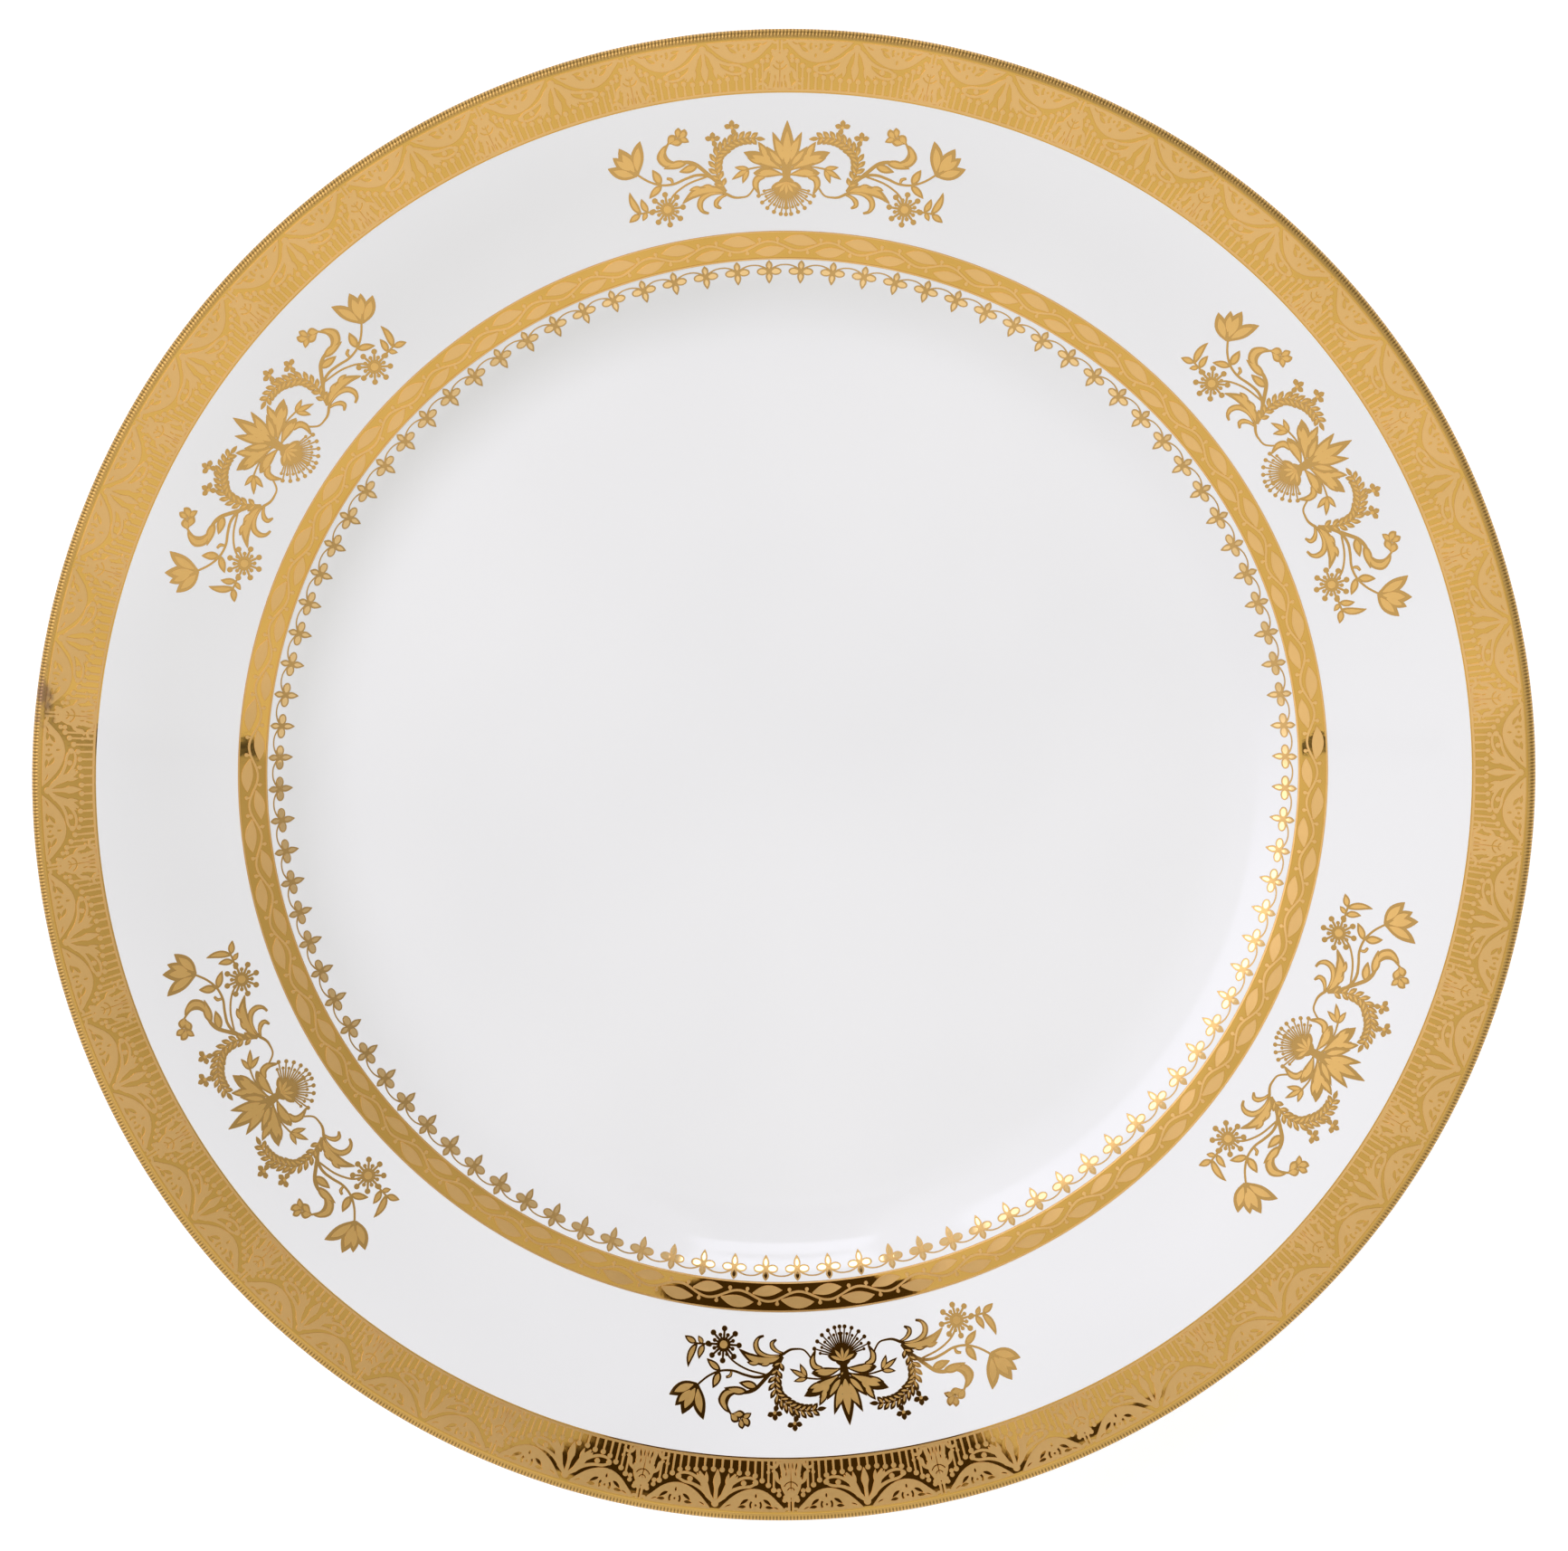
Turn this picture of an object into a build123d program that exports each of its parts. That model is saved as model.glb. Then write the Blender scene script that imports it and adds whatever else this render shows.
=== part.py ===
from build123d import *
from math import cos, degrees, radians, sin, tan
import os

# China dinner plate: a porcelain body on a foot ring, its glaze coats, two gilt bands with raised
# matte relief, a chain of small fleurons and six gilt flower sprays on the white rim.
# Millimetres. +Z is up, the plate stands on its foot ring at z = 0 and is centred on the Z axis.

os.makedirs("parts", exist_ok=True)

# ---------------------------------------------------------------- driving dimensions
WELL_FLOOR = 6.2  # porcelain height of the flat well floor, under the glaze
GLAZE = 0.25  # thickness of a glaze coat
GILT = 0.08  # thickness of a bright gilt film
RELIEF = 0.08  # extra height of the matte raised gilding
# Lifts of the surfaces over the bare porcelain.
TOP_GLAZE = GLAZE
TOP_GILT = GLAZE + GILT
TOP_RELIEF = GLAZE + GILT + RELIEF

# The eating side turns from slope to slope between these radii, one arc each: floor, cavetto,
# verge, rim and lip. Slopes are in degrees above level.
FACE_STATIONS = [(77.0, 0), (88.5, 33), (96.0, 15.5), (112.0, 18.5), (133.2, 9)]
# The underside does the same, from the top of the foot's outer wall to the lip.
BACK_STATIONS = [(79.5, 61), (81.1, 14), (90.0, 33), (97.0, 16), (112.5, 18.5), (133.2, 9.5)]
BACK_START = 2.4  # height where the underside leaves the foot's outer wall
LIP_ROUND = 1.2  # radius of the rolled lip
LIP_STEPS = 5  # flats that follow the roll
FOOT_RECESS = 3.2  # height of the underside inside the foot ring
FOOT_WALL = [(78.5, 0.6), (79.5, 2.4)]  # outer wall of the foot
FOOT_TREAD = [(78.5, 0.6), (77.9, 0), (75.9, 0), (75.3, 0.6)]  # the bare standing edge
FOOT_INNER = [(75.3, 0.6), (74.4, 2.6), (73.4, 3.2)]  # inner wall up to the recess

OUTER_BAND = (123.5, 133.6)  # inner and outer radius of the wide gilt band
OUTER_BORDERS = [(123.7, 124.2), (132.9, 133.5)]  # its raised border lines
INNER_BAND = (92.9, 98.2)  # the narrow gilt band over the verge
INNER_BORDERS = [(93.1, 93.5), (97.6, 98.0)]
FAN_COUNT = 30
FAN_START = 0.45  # angle of the first fan, from +X towards +Y
LEAF_COUNT = 55
LEAF_START = 0.75  # angle of the first leaf of the inner row
FLEURON_COUNT = 100
FLEURON_START = 1.6
FLEURON_RADIUS = 90.7
FLEURON_ZONE = (87.7, 92.7)  # the part of the glaze that the chain may lie on
SPRAY_RADIUS = 110.7
SPRAY_ZONE = (98.5, 123.2)  # the white part of the rim, just clear of both gilt bands
# The six transfers were laid by hand, so they sit slightly off the sixth points of the rim.
SPRAY_ANGLES = [89.8, 30.9, -27.9, -84.3, -147.8, 146.4]

TALL = 60.0  # height of the cutting prisms, well over the plate's own height
FULL_RADIUS = 140.0  # past the lip, for coats that run all the way out


# ---------------------------------------------------------------- section of the plate
def heights(stations, start):
    """Height at each station: a circular arc rises along the mean of its end slopes."""
    found = [start]
    for (r0, slope0), (r1, slope1) in zip(stations, stations[1:]):
        found.append(found[-1] + (r1 - r0) * tan(radians((slope0 + slope1) / 2)))
    return found


FACE_HEIGHTS = heights(FACE_STATIONS, WELL_FLOOR)
BACK_HEIGHTS = heights(BACK_STATIONS, BACK_START)


def heading(slope):
    """Unit direction at a slope above level, away from the axis."""
    return (cos(radians(slope)), sin(radians(slope)))


def lip_point(lift, share):
    """Point on the lip's roll, from the rim's last station to the outermost tip."""
    edge_radius, slope = FACE_STATIONS[-1]
    roll = LIP_ROUND + lift / cos(radians(slope))
    centre_radius = edge_radius + roll * sin(radians(slope))
    centre_height = FACE_HEIGHTS[-1] - LIP_ROUND * cos(radians(slope))
    turn = radians(90 + slope) * (1 - share)
    return (centre_radius + roll * cos(turn), centre_height + roll * sin(turn))


def lip_tip(lift):
    """Outermost point of the section, for a surface raised by lift above the porcelain."""
    return lip_point(lift, 1)


def arcs(stations, levels, lift):
    """Tangent arcs through the stations, moved up by lift."""
    for i in range(len(stations) - 1):
        start = (stations[i][0], levels[i] + lift)
        end = (stations[i + 1][0], levels[i + 1] + lift)
        TangentArc(start, end, tangent=heading(stations[i][1]))


def face_line(lift):
    """Eating side from the axis to the lip's tip, raised by lift."""
    Line((0, WELL_FLOOR + lift), (FACE_STATIONS[0][0], WELL_FLOOR + lift))
    arcs(FACE_STATIONS, FACE_HEIGHTS, lift)
    Polyline(*[lip_point(lift, step / LIP_STEPS) for step in range(LIP_STEPS + 1)])


def back_line(drop):
    """Underside from the foot's outer wall to the lip's tip, lowered by drop."""
    (low_r, low_z), (top_r, top_z) = FOOT_WALL
    Line((low_r + drop, low_z), (top_r + drop / 2, top_z - drop))
    if drop == 0:
        arcs(BACK_STATIONS, BACK_HEIGHTS, 0)
    else:
        lowered_back(drop)
    edge_radius, slope = BACK_STATIONS[-1]
    Spline(
        [(edge_radius, BACK_HEIGHTS[-1] - drop), lip_tip(drop)],
        tangents=[heading(slope), (0, 1)],
    )


def lowered_back(drop):
    """Underside arcs of a coat: as the porcelain's, but starting at the coat's own wall."""
    start = (FOOT_WALL[1][0] + drop / 2, BACK_START - drop)
    first = (BACK_STATIONS[1][0], BACK_HEIGHTS[1] - drop)
    Spline([start, first], tangents=[heading(BACK_STATIONS[0][1]), heading(BACK_STATIONS[1][1])])
    arcs(BACK_STATIONS[1:], BACK_HEIGHTS[1:], -drop)


def face_layer(low, high, inner, outer):
    """Section of a coat on the eating side, between two lifts and two radii."""
    with BuildSketch(Plane.XZ) as section:
        with BuildLine():
            face_line(low)
            face_line(high)
            Line((0, WELL_FLOOR + low), (0, WELL_FLOOR + high))
            Line(lip_tip(low), lip_tip(high))
        make_face()
        with Locations(((inner + outer) / 2, TALL / 2)):
            Rectangle(outer - inner, TALL, mode=Mode.INTERSECT)
    return section.sketch


# ---------------------------------------------------------------- porcelain and glaze
with BuildPart() as porcelain_body:
    with BuildSketch(Plane.XZ):
        with BuildLine():
            face_line(0)
            back_line(0)
            Polyline(*FOOT_TREAD)
            Polyline(*FOOT_INNER)
            Line(FOOT_INNER[-1], (0, FOOT_RECESS))
            Line((0, FOOT_RECESS), (0, WELL_FLOOR))
        make_face()
    revolve(axis=Axis.Z)
porcelain_body.part.label = "porcelain_body"
export_step(porcelain_body.part, "parts/porcelain_body.step")

with BuildPart() as face_glaze:
    add(face_layer(0, TOP_GLAZE, 0, FULL_RADIUS))
    revolve(axis=Axis.Z)
face_glaze.part.label = "face_glaze"
export_step(face_glaze.part, "parts/face_glaze.step")

with BuildPart() as back_glaze:
    with BuildSketch(Plane.XZ):
        with BuildLine():
            back_line(0)
            back_line(GLAZE)
            Line(FOOT_WALL[0], (FOOT_WALL[0][0] + GLAZE, FOOT_WALL[0][1]))
            Line(lip_tip(0), lip_tip(GLAZE))
        make_face()
    revolve(axis=Axis.Z)
back_glaze.part.label = "back_glaze"
export_step(back_glaze.part, "parts/back_glaze.step")

with BuildPart() as base_glaze:
    with BuildSketch(Plane.XZ):
        with BuildLine():
            Polyline(*FOOT_INNER)
            Line(FOOT_INNER[-1], (0, FOOT_RECESS))
            Line((0, FOOT_RECESS), (0, FOOT_RECESS - GLAZE))
            Polyline(
                (0, FOOT_RECESS - GLAZE),
                (FOOT_INNER[2][0] - GLAZE / 2, FOOT_RECESS - GLAZE),
                (FOOT_INNER[1][0] - GLAZE, FOOT_INNER[1][1] - GLAZE / 2),
                (FOOT_INNER[0][0] - GLAZE, FOOT_INNER[0][1]),
                FOOT_INNER[0],
            )
        make_face()
    revolve(axis=Axis.Z)
base_glaze.part.label = "base_glaze"
export_step(base_glaze.part, "parts/base_glaze.step")

# ---------------------------------------------------------------- bright gilt films
with BuildPart() as rim_gold_band:
    add(face_layer(TOP_GLAZE, TOP_GILT, *OUTER_BAND))
    revolve(axis=Axis.Z)
rim_gold_band.part.label = "rim_gold_band"
export_step(rim_gold_band.part, "parts/rim_gold_band.step")

with BuildPart() as rim_edge_gold:
    add(face_layer(TOP_GLAZE, TOP_RELIEF, OUTER_BAND[1], FULL_RADIUS))
    revolve(axis=Axis.Z)
rim_edge_gold.part.label = "rim_edge_gold"
export_step(rim_edge_gold.part, "parts/rim_edge_gold.step")

with BuildPart() as inner_gold_band:
    add(face_layer(TOP_GLAZE, TOP_GILT, *INNER_BAND))
    revolve(axis=Axis.Z)
inner_gold_band.part.label = "inner_gold_band"
export_step(inner_gold_band.part, "parts/inner_gold_band.step")


# ---------------------------------------------------------------- raised border lines
def border_rings(rings):
    """Sections of several raised rings standing on a gilt film."""
    for inner, outer in rings:
        add(face_layer(TOP_GILT, TOP_RELIEF, inner, outer))
        revolve(axis=Axis.Z)


with BuildPart() as rim_relief_borders:
    border_rings(OUTER_BORDERS)
rim_relief_borders.part.label = "rim_relief_borders"
export_step(rim_relief_borders.part, "parts/rim_relief_borders.step")

with BuildPart() as inner_relief_borders:
    border_rings(INNER_BORDERS)
inner_relief_borders.part.label = "inner_relief_borders"
export_step(inner_relief_borders.part, "parts/inner_relief_borders.step")


# ---------------------------------------------------------------- relief drawn in plan
def leaf(length, width):
    """Pointed leaf standing along +Y from the origin."""
    with BuildSketch() as blade:
        with BuildLine():
            ThreePointArc((0, 0), (width / 2, length / 2), (0, length))
            ThreePointArc((0, length), (-width / 2, length / 2), (0, 0))
        make_face()
    return blade.sketch


def on_ring(radius, angle, turn=0.0):
    """Place on a circle about the axis: local +Y points outwards, turned by turn degrees."""
    x = radius * cos(radians(angle))
    y = radius * sin(radians(angle))
    return Location((x, y, 0), (0, 0, angle - 90 + turn))


def on_arc(radius, along, angle=0.0):
    """Point at a distance along a circle from the line at the given angle."""
    at = radians(angle) + along / radius
    return (radius * cos(at), radius * sin(at))


FAN_LEAVES = [leaf(5.2, 1.5), leaf(4.4, 1.5)]  # the middle leaf and one of the pair beside it
FAN_SPREAD = 36  # degrees between the middle leaf and each of the pair
FAN_BASE = 132.2
with BuildPart() as rim_relief_fans:
    with BuildSketch():
        for k in range(FAN_COUNT):
            angle = FAN_START + k * 360 / FAN_COUNT
            with Locations(on_ring(FAN_BASE, angle, 180)):
                add(FAN_LEAVES[0])
            for turn in (180 - FAN_SPREAD, 180 + FAN_SPREAD):
                with Locations(on_ring(FAN_BASE, angle, turn)):
                    add(FAN_LEAVES[1])
    extrude(amount=TALL)
    add(face_layer(TOP_GILT, TOP_RELIEF, *OUTER_BAND))
    revolve(axis=Axis.Z, mode=Mode.INTERSECT)
rim_relief_fans.part.label = "rim_relief_fans"
export_step(rim_relief_fans.part, "parts/rim_relief_fans.step")

SWAG_TOP = OUTER_BORDERS[1][0] - 0.05  # clear of the outer border line
SWAG_DROP = 2.9
SWAG_ENDS = (1.6, 11.0)  # distances along the rim from the fan's own line
with BuildPart() as rim_relief_swags:
    with BuildSketch():
        for k in range(FAN_COUNT):
            for side in (-1, 1):
                near, far = (side * end for end in SWAG_ENDS)
                angle = FAN_START + k * 360 / FAN_COUNT
                ends = on_arc(SWAG_TOP, near, angle), on_arc(SWAG_TOP, far, angle)
                middle = (near + far) / 2
                with BuildLine():
                    ThreePointArc(ends[0], on_arc(SWAG_TOP - SWAG_DROP, middle, angle), ends[1])
                    ThreePointArc(ends[1], on_arc(SWAG_TOP, middle, angle), ends[0])
                make_face()
    extrude(amount=TALL)
    add(face_layer(TOP_GILT, TOP_RELIEF, *OUTER_BAND))
    revolve(axis=Axis.Z, mode=Mode.INTERSECT)
rim_relief_swags.part.label = "rim_relief_swags"
export_step(rim_relief_swags.part, "parts/rim_relief_swags.step")

TASSEL_RADIUS = 127.3
TASSEL_HEAD = (1.9, 2.4)  # half width and half height
TASSEL_STALK = (1.2, 3.0)
STALK_RADIUS = 130.6
with BuildPart() as rim_relief_tassels:
    with BuildSketch():
        for k in range(FAN_COUNT):
            angle = FAN_START + (k + 0.5) * 360 / FAN_COUNT
            with Locations(on_ring(TASSEL_RADIUS, angle)):
                Ellipse(*TASSEL_HEAD)
            with Locations(on_ring(STALK_RADIUS, angle)):
                Rectangle(*TASSEL_STALK)
    extrude(amount=TALL)
    add(face_layer(TOP_GILT, TOP_RELIEF, *OUTER_BAND))
    revolve(axis=Axis.Z, mode=Mode.INTERSECT)
rim_relief_tassels.part.label = "rim_relief_tassels"
export_step(rim_relief_tassels.part, "parts/rim_relief_tassels.step")

LEAF_RADII = (94.6, 96.5)  # the inner and the outer row of leaves
LEAF_SIZE = (6.0, 1.5)
band_leaf = leaf(*LEAF_SIZE)
with BuildPart() as inner_relief_leaves:
    with BuildSketch():
        for k in range(2 * LEAF_COUNT):
            radius = LEAF_RADII[k % 2]
            centre = LEAF_START + k * 180 / LEAF_COUNT
            back = centre - degrees(LEAF_SIZE[0] / 2 / radius)
            with Locations(on_ring(radius, back, 90 + centre - back)):
                add(band_leaf.moved(Location((0, 0, 0), (0, 0, 180))))
    extrude(amount=TALL)
    add(face_layer(TOP_GILT, TOP_RELIEF, *INNER_BAND))
    revolve(axis=Axis.Z, mode=Mode.INTERSECT)
inner_relief_leaves.part.label = "inner_relief_leaves"
export_step(inner_relief_leaves.part, "parts/inner_relief_leaves.step")

# Each petal's turn from straight out, its length and its width.
FLEURON_PETALS = [(0, 1.3, 0.9), (90, 1.5, 1.1), (180, 1.9, 0.9), (270, 1.5, 1.1)]
FLEURON_EYE = 0.35
petals = [(turn, leaf(length, width)) for turn, length, width in FLEURON_PETALS]
with BuildPart() as fleuron_chain:
    with BuildSketch():
        for k in range(FLEURON_COUNT):
            angle = FLEURON_START + k * 360 / FLEURON_COUNT
            with Locations(on_ring(FLEURON_RADIUS, angle)):
                Circle(FLEURON_EYE)
            for turn, petal in petals:
                with Locations(on_ring(FLEURON_RADIUS, angle, turn)):
                    add(petal)
    extrude(amount=TALL)
    add(face_layer(TOP_GLAZE, TOP_GILT, *FLEURON_ZONE))
    revolve(axis=Axis.Z, mode=Mode.INTERSECT)
fleuron_chain.part.label = "fleuron_chain"
export_step(fleuron_chain.part, "parts/fleuron_chain.step")

# ---------------------------------------------------------------- flower sprays
# One half of a spray, mirrored about its own middle line. Each blade is its distance along the
# rim, its distance outwards from SPRAY_RADIUS, its turn from straight out towards the spray's
# end, its length and its width.
MIDDLE_BLADES = [(0, -3.2, 0, 10.6, 3.4), (0, -3.0, 180, 5.2, 1.6)]
HALF_BLADES = [
    (0.3, -3.0, 34, 8.8, 3.0),
    (0.5, -3.0, 66, 7.2, 2.6),
    (0.3, -3.6, 112, 5.0, 1.5),
    (0.3, -3.6, 148, 5.2, 1.5),
    (8.8, -3.4, 40, 2.6, 1.2),
    (8.6, -3.0, -10, 2.6, 1.2),
    (8.6, -3.4, -70, 2.2, 1.0),
    (12.4, -4.6, 78, 6.0, 1.8),
    (16.0, 0.4, 62, 6.2, 2.0),
    (21.4, 4.4, -35, 3.2, 2.0),
    (23.2, -2.0, -28, 3.0, 1.3),
    (23.2, -2.0, 52, 3.0, 1.3),
    (27.6, 1.8, -8, 4.8, 1.7),
    (27.8, 1.8, 28, 4.8, 1.7),
    (27.6, 1.4, 60, 4.6, 1.7),
    (25.6, -3.8, 105, 3.2, 1.3),
    (27.6, -4.6, 60, 3.0, 1.3),
    (27.8, -4.8, 140, 3.0, 1.3),
    (14.6, -5.4, 168, 4.0, 1.0),
]
FERN_TURNS = 8  # little leaves along the curled fern
FERN_CENTRE = (7.6, 1.3)
FERN_RADIUS = 5.2
FERN_START = 150  # turn of the first little leaf's root about the curl, from straight out
FERN_STEP = 34
FERN_LEAN = 40
FERN_LEAF = leaf(2.0, 0.9)
ASTER_CENTRE = (21.6, -5.6)
ASTER_RAYS = 8
ASTER_RAY = leaf(2.5, 0.7)
STEM_WIDTH = 0.45
# Stems are arcs through three points, each a distance along the rim and a distance outwards.
HALF_STEMS = [
    [(1.0, -4.2), (6.0, -5.9), (10.8, -4.6)],
    [(10.8, -4.6), (13.4, 1.6), (9.6, 6.4)],
    [(10.8, -4.6), (17.0, -1.6), (21.6, 4.6)],
    [(16.0, -2.2), (22.0, -2.6), (27.6, 2.2)],
    [(10.8, -4.6), (18.0, -4.6), (27.8, -4.8)],
]


def spray_place(along, out, turn, side):
    """Place in a spray that is centred on the +X line; side is 1 or -1."""
    angle = degrees(side * along / SPRAY_RADIUS)
    return on_ring(SPRAY_RADIUS + out, angle, side * turn)


with BuildSketch() as spray_plan:
    for along, out, turn, length, width in MIDDLE_BLADES:
        blade = leaf(length, width).moved(spray_place(along, out, turn, 1))
        add(blade)
    for side in (-1, 1):
        for along, out, turn, length, width in HALF_BLADES:
            add(leaf(length, width).moved(spray_place(along, out, turn, side)))
        for k in range(FERN_TURNS):
            turn = FERN_START - k * FERN_STEP
            along = FERN_CENTRE[0] + FERN_RADIUS * sin(radians(turn))
            out = FERN_CENTRE[1] + FERN_RADIUS * cos(radians(turn))
            add(FERN_LEAF.moved(spray_place(along, out, turn - FERN_LEAN, side)))
        for k in range(ASTER_RAYS):
            add(ASTER_RAY.moved(spray_place(*ASTER_CENTRE, k * 360 / ASTER_RAYS, side)))
        for stem in HALF_STEMS:
            points = [on_arc(SPRAY_RADIUS + out, side * along) for along, out in stem]
            with BuildLine() as route:
                ThreePointArc(*points)
            trace(route.line, line_width=STEM_WIDTH)

for number, angle in enumerate(SPRAY_ANGLES, start=1):
    with BuildPart() as floral_spray:
        add(spray_plan.sketch.moved(Location((0, 0, 0), (0, 0, angle))))
        extrude(amount=TALL)
        add(face_layer(TOP_GLAZE, TOP_GILT, *SPRAY_ZONE))
        revolve(axis=Axis.Z, mode=Mode.INTERSECT)
    floral_spray.part.label = f"floral_spray_{number}"
    export_step(floral_spray.part, f"parts/floral_spray_{number}.step")
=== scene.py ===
"""China dinner plate: smooth glazed porcelain, two gilt bands with raised matte ornament, a chain
of small fleurons and six gilt flower sprays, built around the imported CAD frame.

Shapes are drawn in plan in millimetres and then laid on the plate's face. Blender's unit is the metre.
"""

import math

import bpy
import numpy as np
from mathutils import Matrix, Vector
from mathutils.geometry import delaunay_2d_cdt


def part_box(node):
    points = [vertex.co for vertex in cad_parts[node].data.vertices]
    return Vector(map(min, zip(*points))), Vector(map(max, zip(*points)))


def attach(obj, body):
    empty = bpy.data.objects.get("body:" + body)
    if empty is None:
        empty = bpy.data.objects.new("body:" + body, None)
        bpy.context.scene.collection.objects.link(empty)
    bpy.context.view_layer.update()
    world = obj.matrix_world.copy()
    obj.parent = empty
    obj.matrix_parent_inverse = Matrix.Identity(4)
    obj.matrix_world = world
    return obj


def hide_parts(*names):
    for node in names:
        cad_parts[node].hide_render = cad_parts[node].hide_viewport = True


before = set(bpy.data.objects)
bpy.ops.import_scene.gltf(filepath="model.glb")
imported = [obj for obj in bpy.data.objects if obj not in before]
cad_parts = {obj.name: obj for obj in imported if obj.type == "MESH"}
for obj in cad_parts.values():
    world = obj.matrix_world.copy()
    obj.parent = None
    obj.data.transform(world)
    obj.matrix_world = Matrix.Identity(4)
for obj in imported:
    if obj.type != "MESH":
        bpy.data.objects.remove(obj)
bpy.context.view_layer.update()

MM = 0.001
TINY = 1e-9

# ------------------------------------------------------------------ section of the plate
# The same stations as the CAD section: radius in millimetres, slope in degrees.
FACE_STATIONS = [(77.0, 0.0), (88.5, 33.0), (96.0, 15.5), (112.0, 18.5), (133.2, 9.0)]
BACK_STATIONS = [(79.5, 61.0), (81.1, 14.0), (90.0, 33.0), (97.0, 16.0), (112.5, 18.5), (133.2, 9.5)]
BACK_START = 2.4
LIP_ROUND = 1.2
GLAZE = 0.25
FOOT_OUTER = (78.5, 0.6)
WELL_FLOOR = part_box("face_glaze")[0].z / MM  # underside of the glaze in the well
RIM_EDGE, EDGE_SLOPE = FACE_STATIONS[-1]
ARC_STEPS = 14
WELL_RADII = (0.0, 6.0, 15.0, 30.0, 45.0, 60.0, 70.0)
CREASE = math.radians(32)  # edges sharper than this are drawn sharp


def station_arcs(stations, start):
    """Points along tangent arcs that turn from slope to slope between the stations."""
    points, height = [(stations[0][0], start)], start
    for (r0, slope0), (r1, slope1) in zip(stations, stations[1:]):
        a0, a1 = math.radians(slope0), math.radians(slope1)
        radius = (r1 - r0) / (math.sin(a1) - math.sin(a0))
        for step in range(1, ARC_STEPS + 1):
            r = r0 + (r1 - r0) * step / ARC_STEPS
            a = math.asin(math.sin(a0) + (r - r0) / radius)
            points.append((r, height + radius * (math.cos(a0) - math.cos(a))))
        height = points[-1][1]
    return points


FACE_ARCS = station_arcs(FACE_STATIONS, WELL_FLOOR)
BACK_ARCS = station_arcs(BACK_STATIONS, BACK_START)
EDGE_HEIGHT = FACE_ARCS[-1][1]


def lip_point(lift, share):
    """Point on the rolled lip: share 0 is the end of the rim, 1 the outermost tip."""
    roll = LIP_ROUND + lift / math.cos(math.radians(EDGE_SLOPE))
    centre_r = RIM_EDGE + roll * math.sin(math.radians(EDGE_SLOPE))
    centre_z = EDGE_HEIGHT - LIP_ROUND * math.cos(math.radians(EDGE_SLOPE))
    turn = math.radians(90 + EDGE_SLOPE) * (1 - share)
    return centre_r + roll * math.cos(turn), centre_z + roll * math.sin(turn)


def face_line(lift, steps=16):
    """Eating side from the axis to the lip's tip, at a lift above the bare porcelain."""
    floor = [(r, WELL_FLOOR + lift) for r in WELL_RADII]
    arcs = [(r, z + lift) for r, z in FACE_ARCS]
    return floor + arcs + [lip_point(lift, k / steps) for k in range(1, steps + 1)]


TOP_LINE = np.array(face_line(GLAZE, 48))


def face_height(r):
    """Height of the glazed face at radius r, out to the lip's tip."""
    return np.interp(r, TOP_LINE[:, 0], TOP_LINE[:, 1])


# ------------------------------------------------------------------ mesh helpers
def new_object(name, verts, loops, sizes, material):
    """Mesh object from vertex coordinates in millimetres and faces as flat loop indices."""
    mesh = bpy.data.meshes.new(name)
    verts = np.asarray(verts, np.float64) * MM
    mesh.vertices.add(len(verts))
    mesh.vertices.foreach_set("co", verts.astype(np.float32).ravel())
    mesh.loops.add(len(loops))
    mesh.loops.foreach_set("vertex_index", np.asarray(loops, np.int32))
    sizes = np.asarray(sizes, np.int32)
    mesh.polygons.add(len(sizes))
    starts = np.concatenate([[0], np.cumsum(sizes)[:-1]])
    mesh.polygons.foreach_set("loop_start", starts.astype(np.int32))
    mesh.polygons.foreach_set("loop_total", sizes)
    mesh.update(calc_edges=True)
    mesh.validate()
    mesh.shade_smooth()
    mesh.set_sharp_from_angle(angle=CREASE)
    obj = bpy.data.objects.new(name, mesh)
    bpy.context.scene.collection.objects.link(obj)
    obj.data.materials.append(material)
    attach(obj, "root")
    return obj


def lathe(name, outline, segments, material):
    """Closed solid of revolution; outline runs with the solid on its left, points on the axis are poles."""
    angles = np.arange(segments) * 2 * math.pi / segments
    verts, rings = [], []
    for r, z in outline:
        if r < TINY:
            rings.append([len(verts)] * segments)
            verts.append((0.0, 0.0, z))
            continue
        rings.append(list(range(len(verts), len(verts) + segments)))
        verts.extend(zip(r * np.cos(angles), r * np.sin(angles), np.full(segments, z)))
    loops, sizes = [], []
    for ring, above in zip(rings, rings[1:] + rings[:1]):
        if ring[0] == ring[1] and above[0] == above[1]:
            continue
        for k in range(segments):
            n = (k + 1) % segments
            corners = [ring[k], ring[n], above[n], above[k]]
            face = [c for i, c in enumerate(corners) if c != corners[i - 1]]
            loops.extend(face)
            sizes.append(len(face))
    return new_object(name, verts, loops, sizes, material)


COAT_STEPS = 14


def coat(name, low, high, inner, outer, segments, material, chamfer=0.0):
    """Ring-shaped coat on the face between two lifts over the glaze and two radii."""
    radii = np.unique(np.concatenate([np.linspace(inner, outer, COAT_STEPS), TOP_LINE[:, 0]]))
    radii = radii[(radii >= inner) & (radii <= outer)]
    top = [(min(max(r, inner + chamfer), outer - chamfer), face_height(r) + high) for r in radii]
    bottom = [(r, face_height(r) + low) for r in radii]
    return lathe(name, bottom + top[::-1], segments, material)


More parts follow.
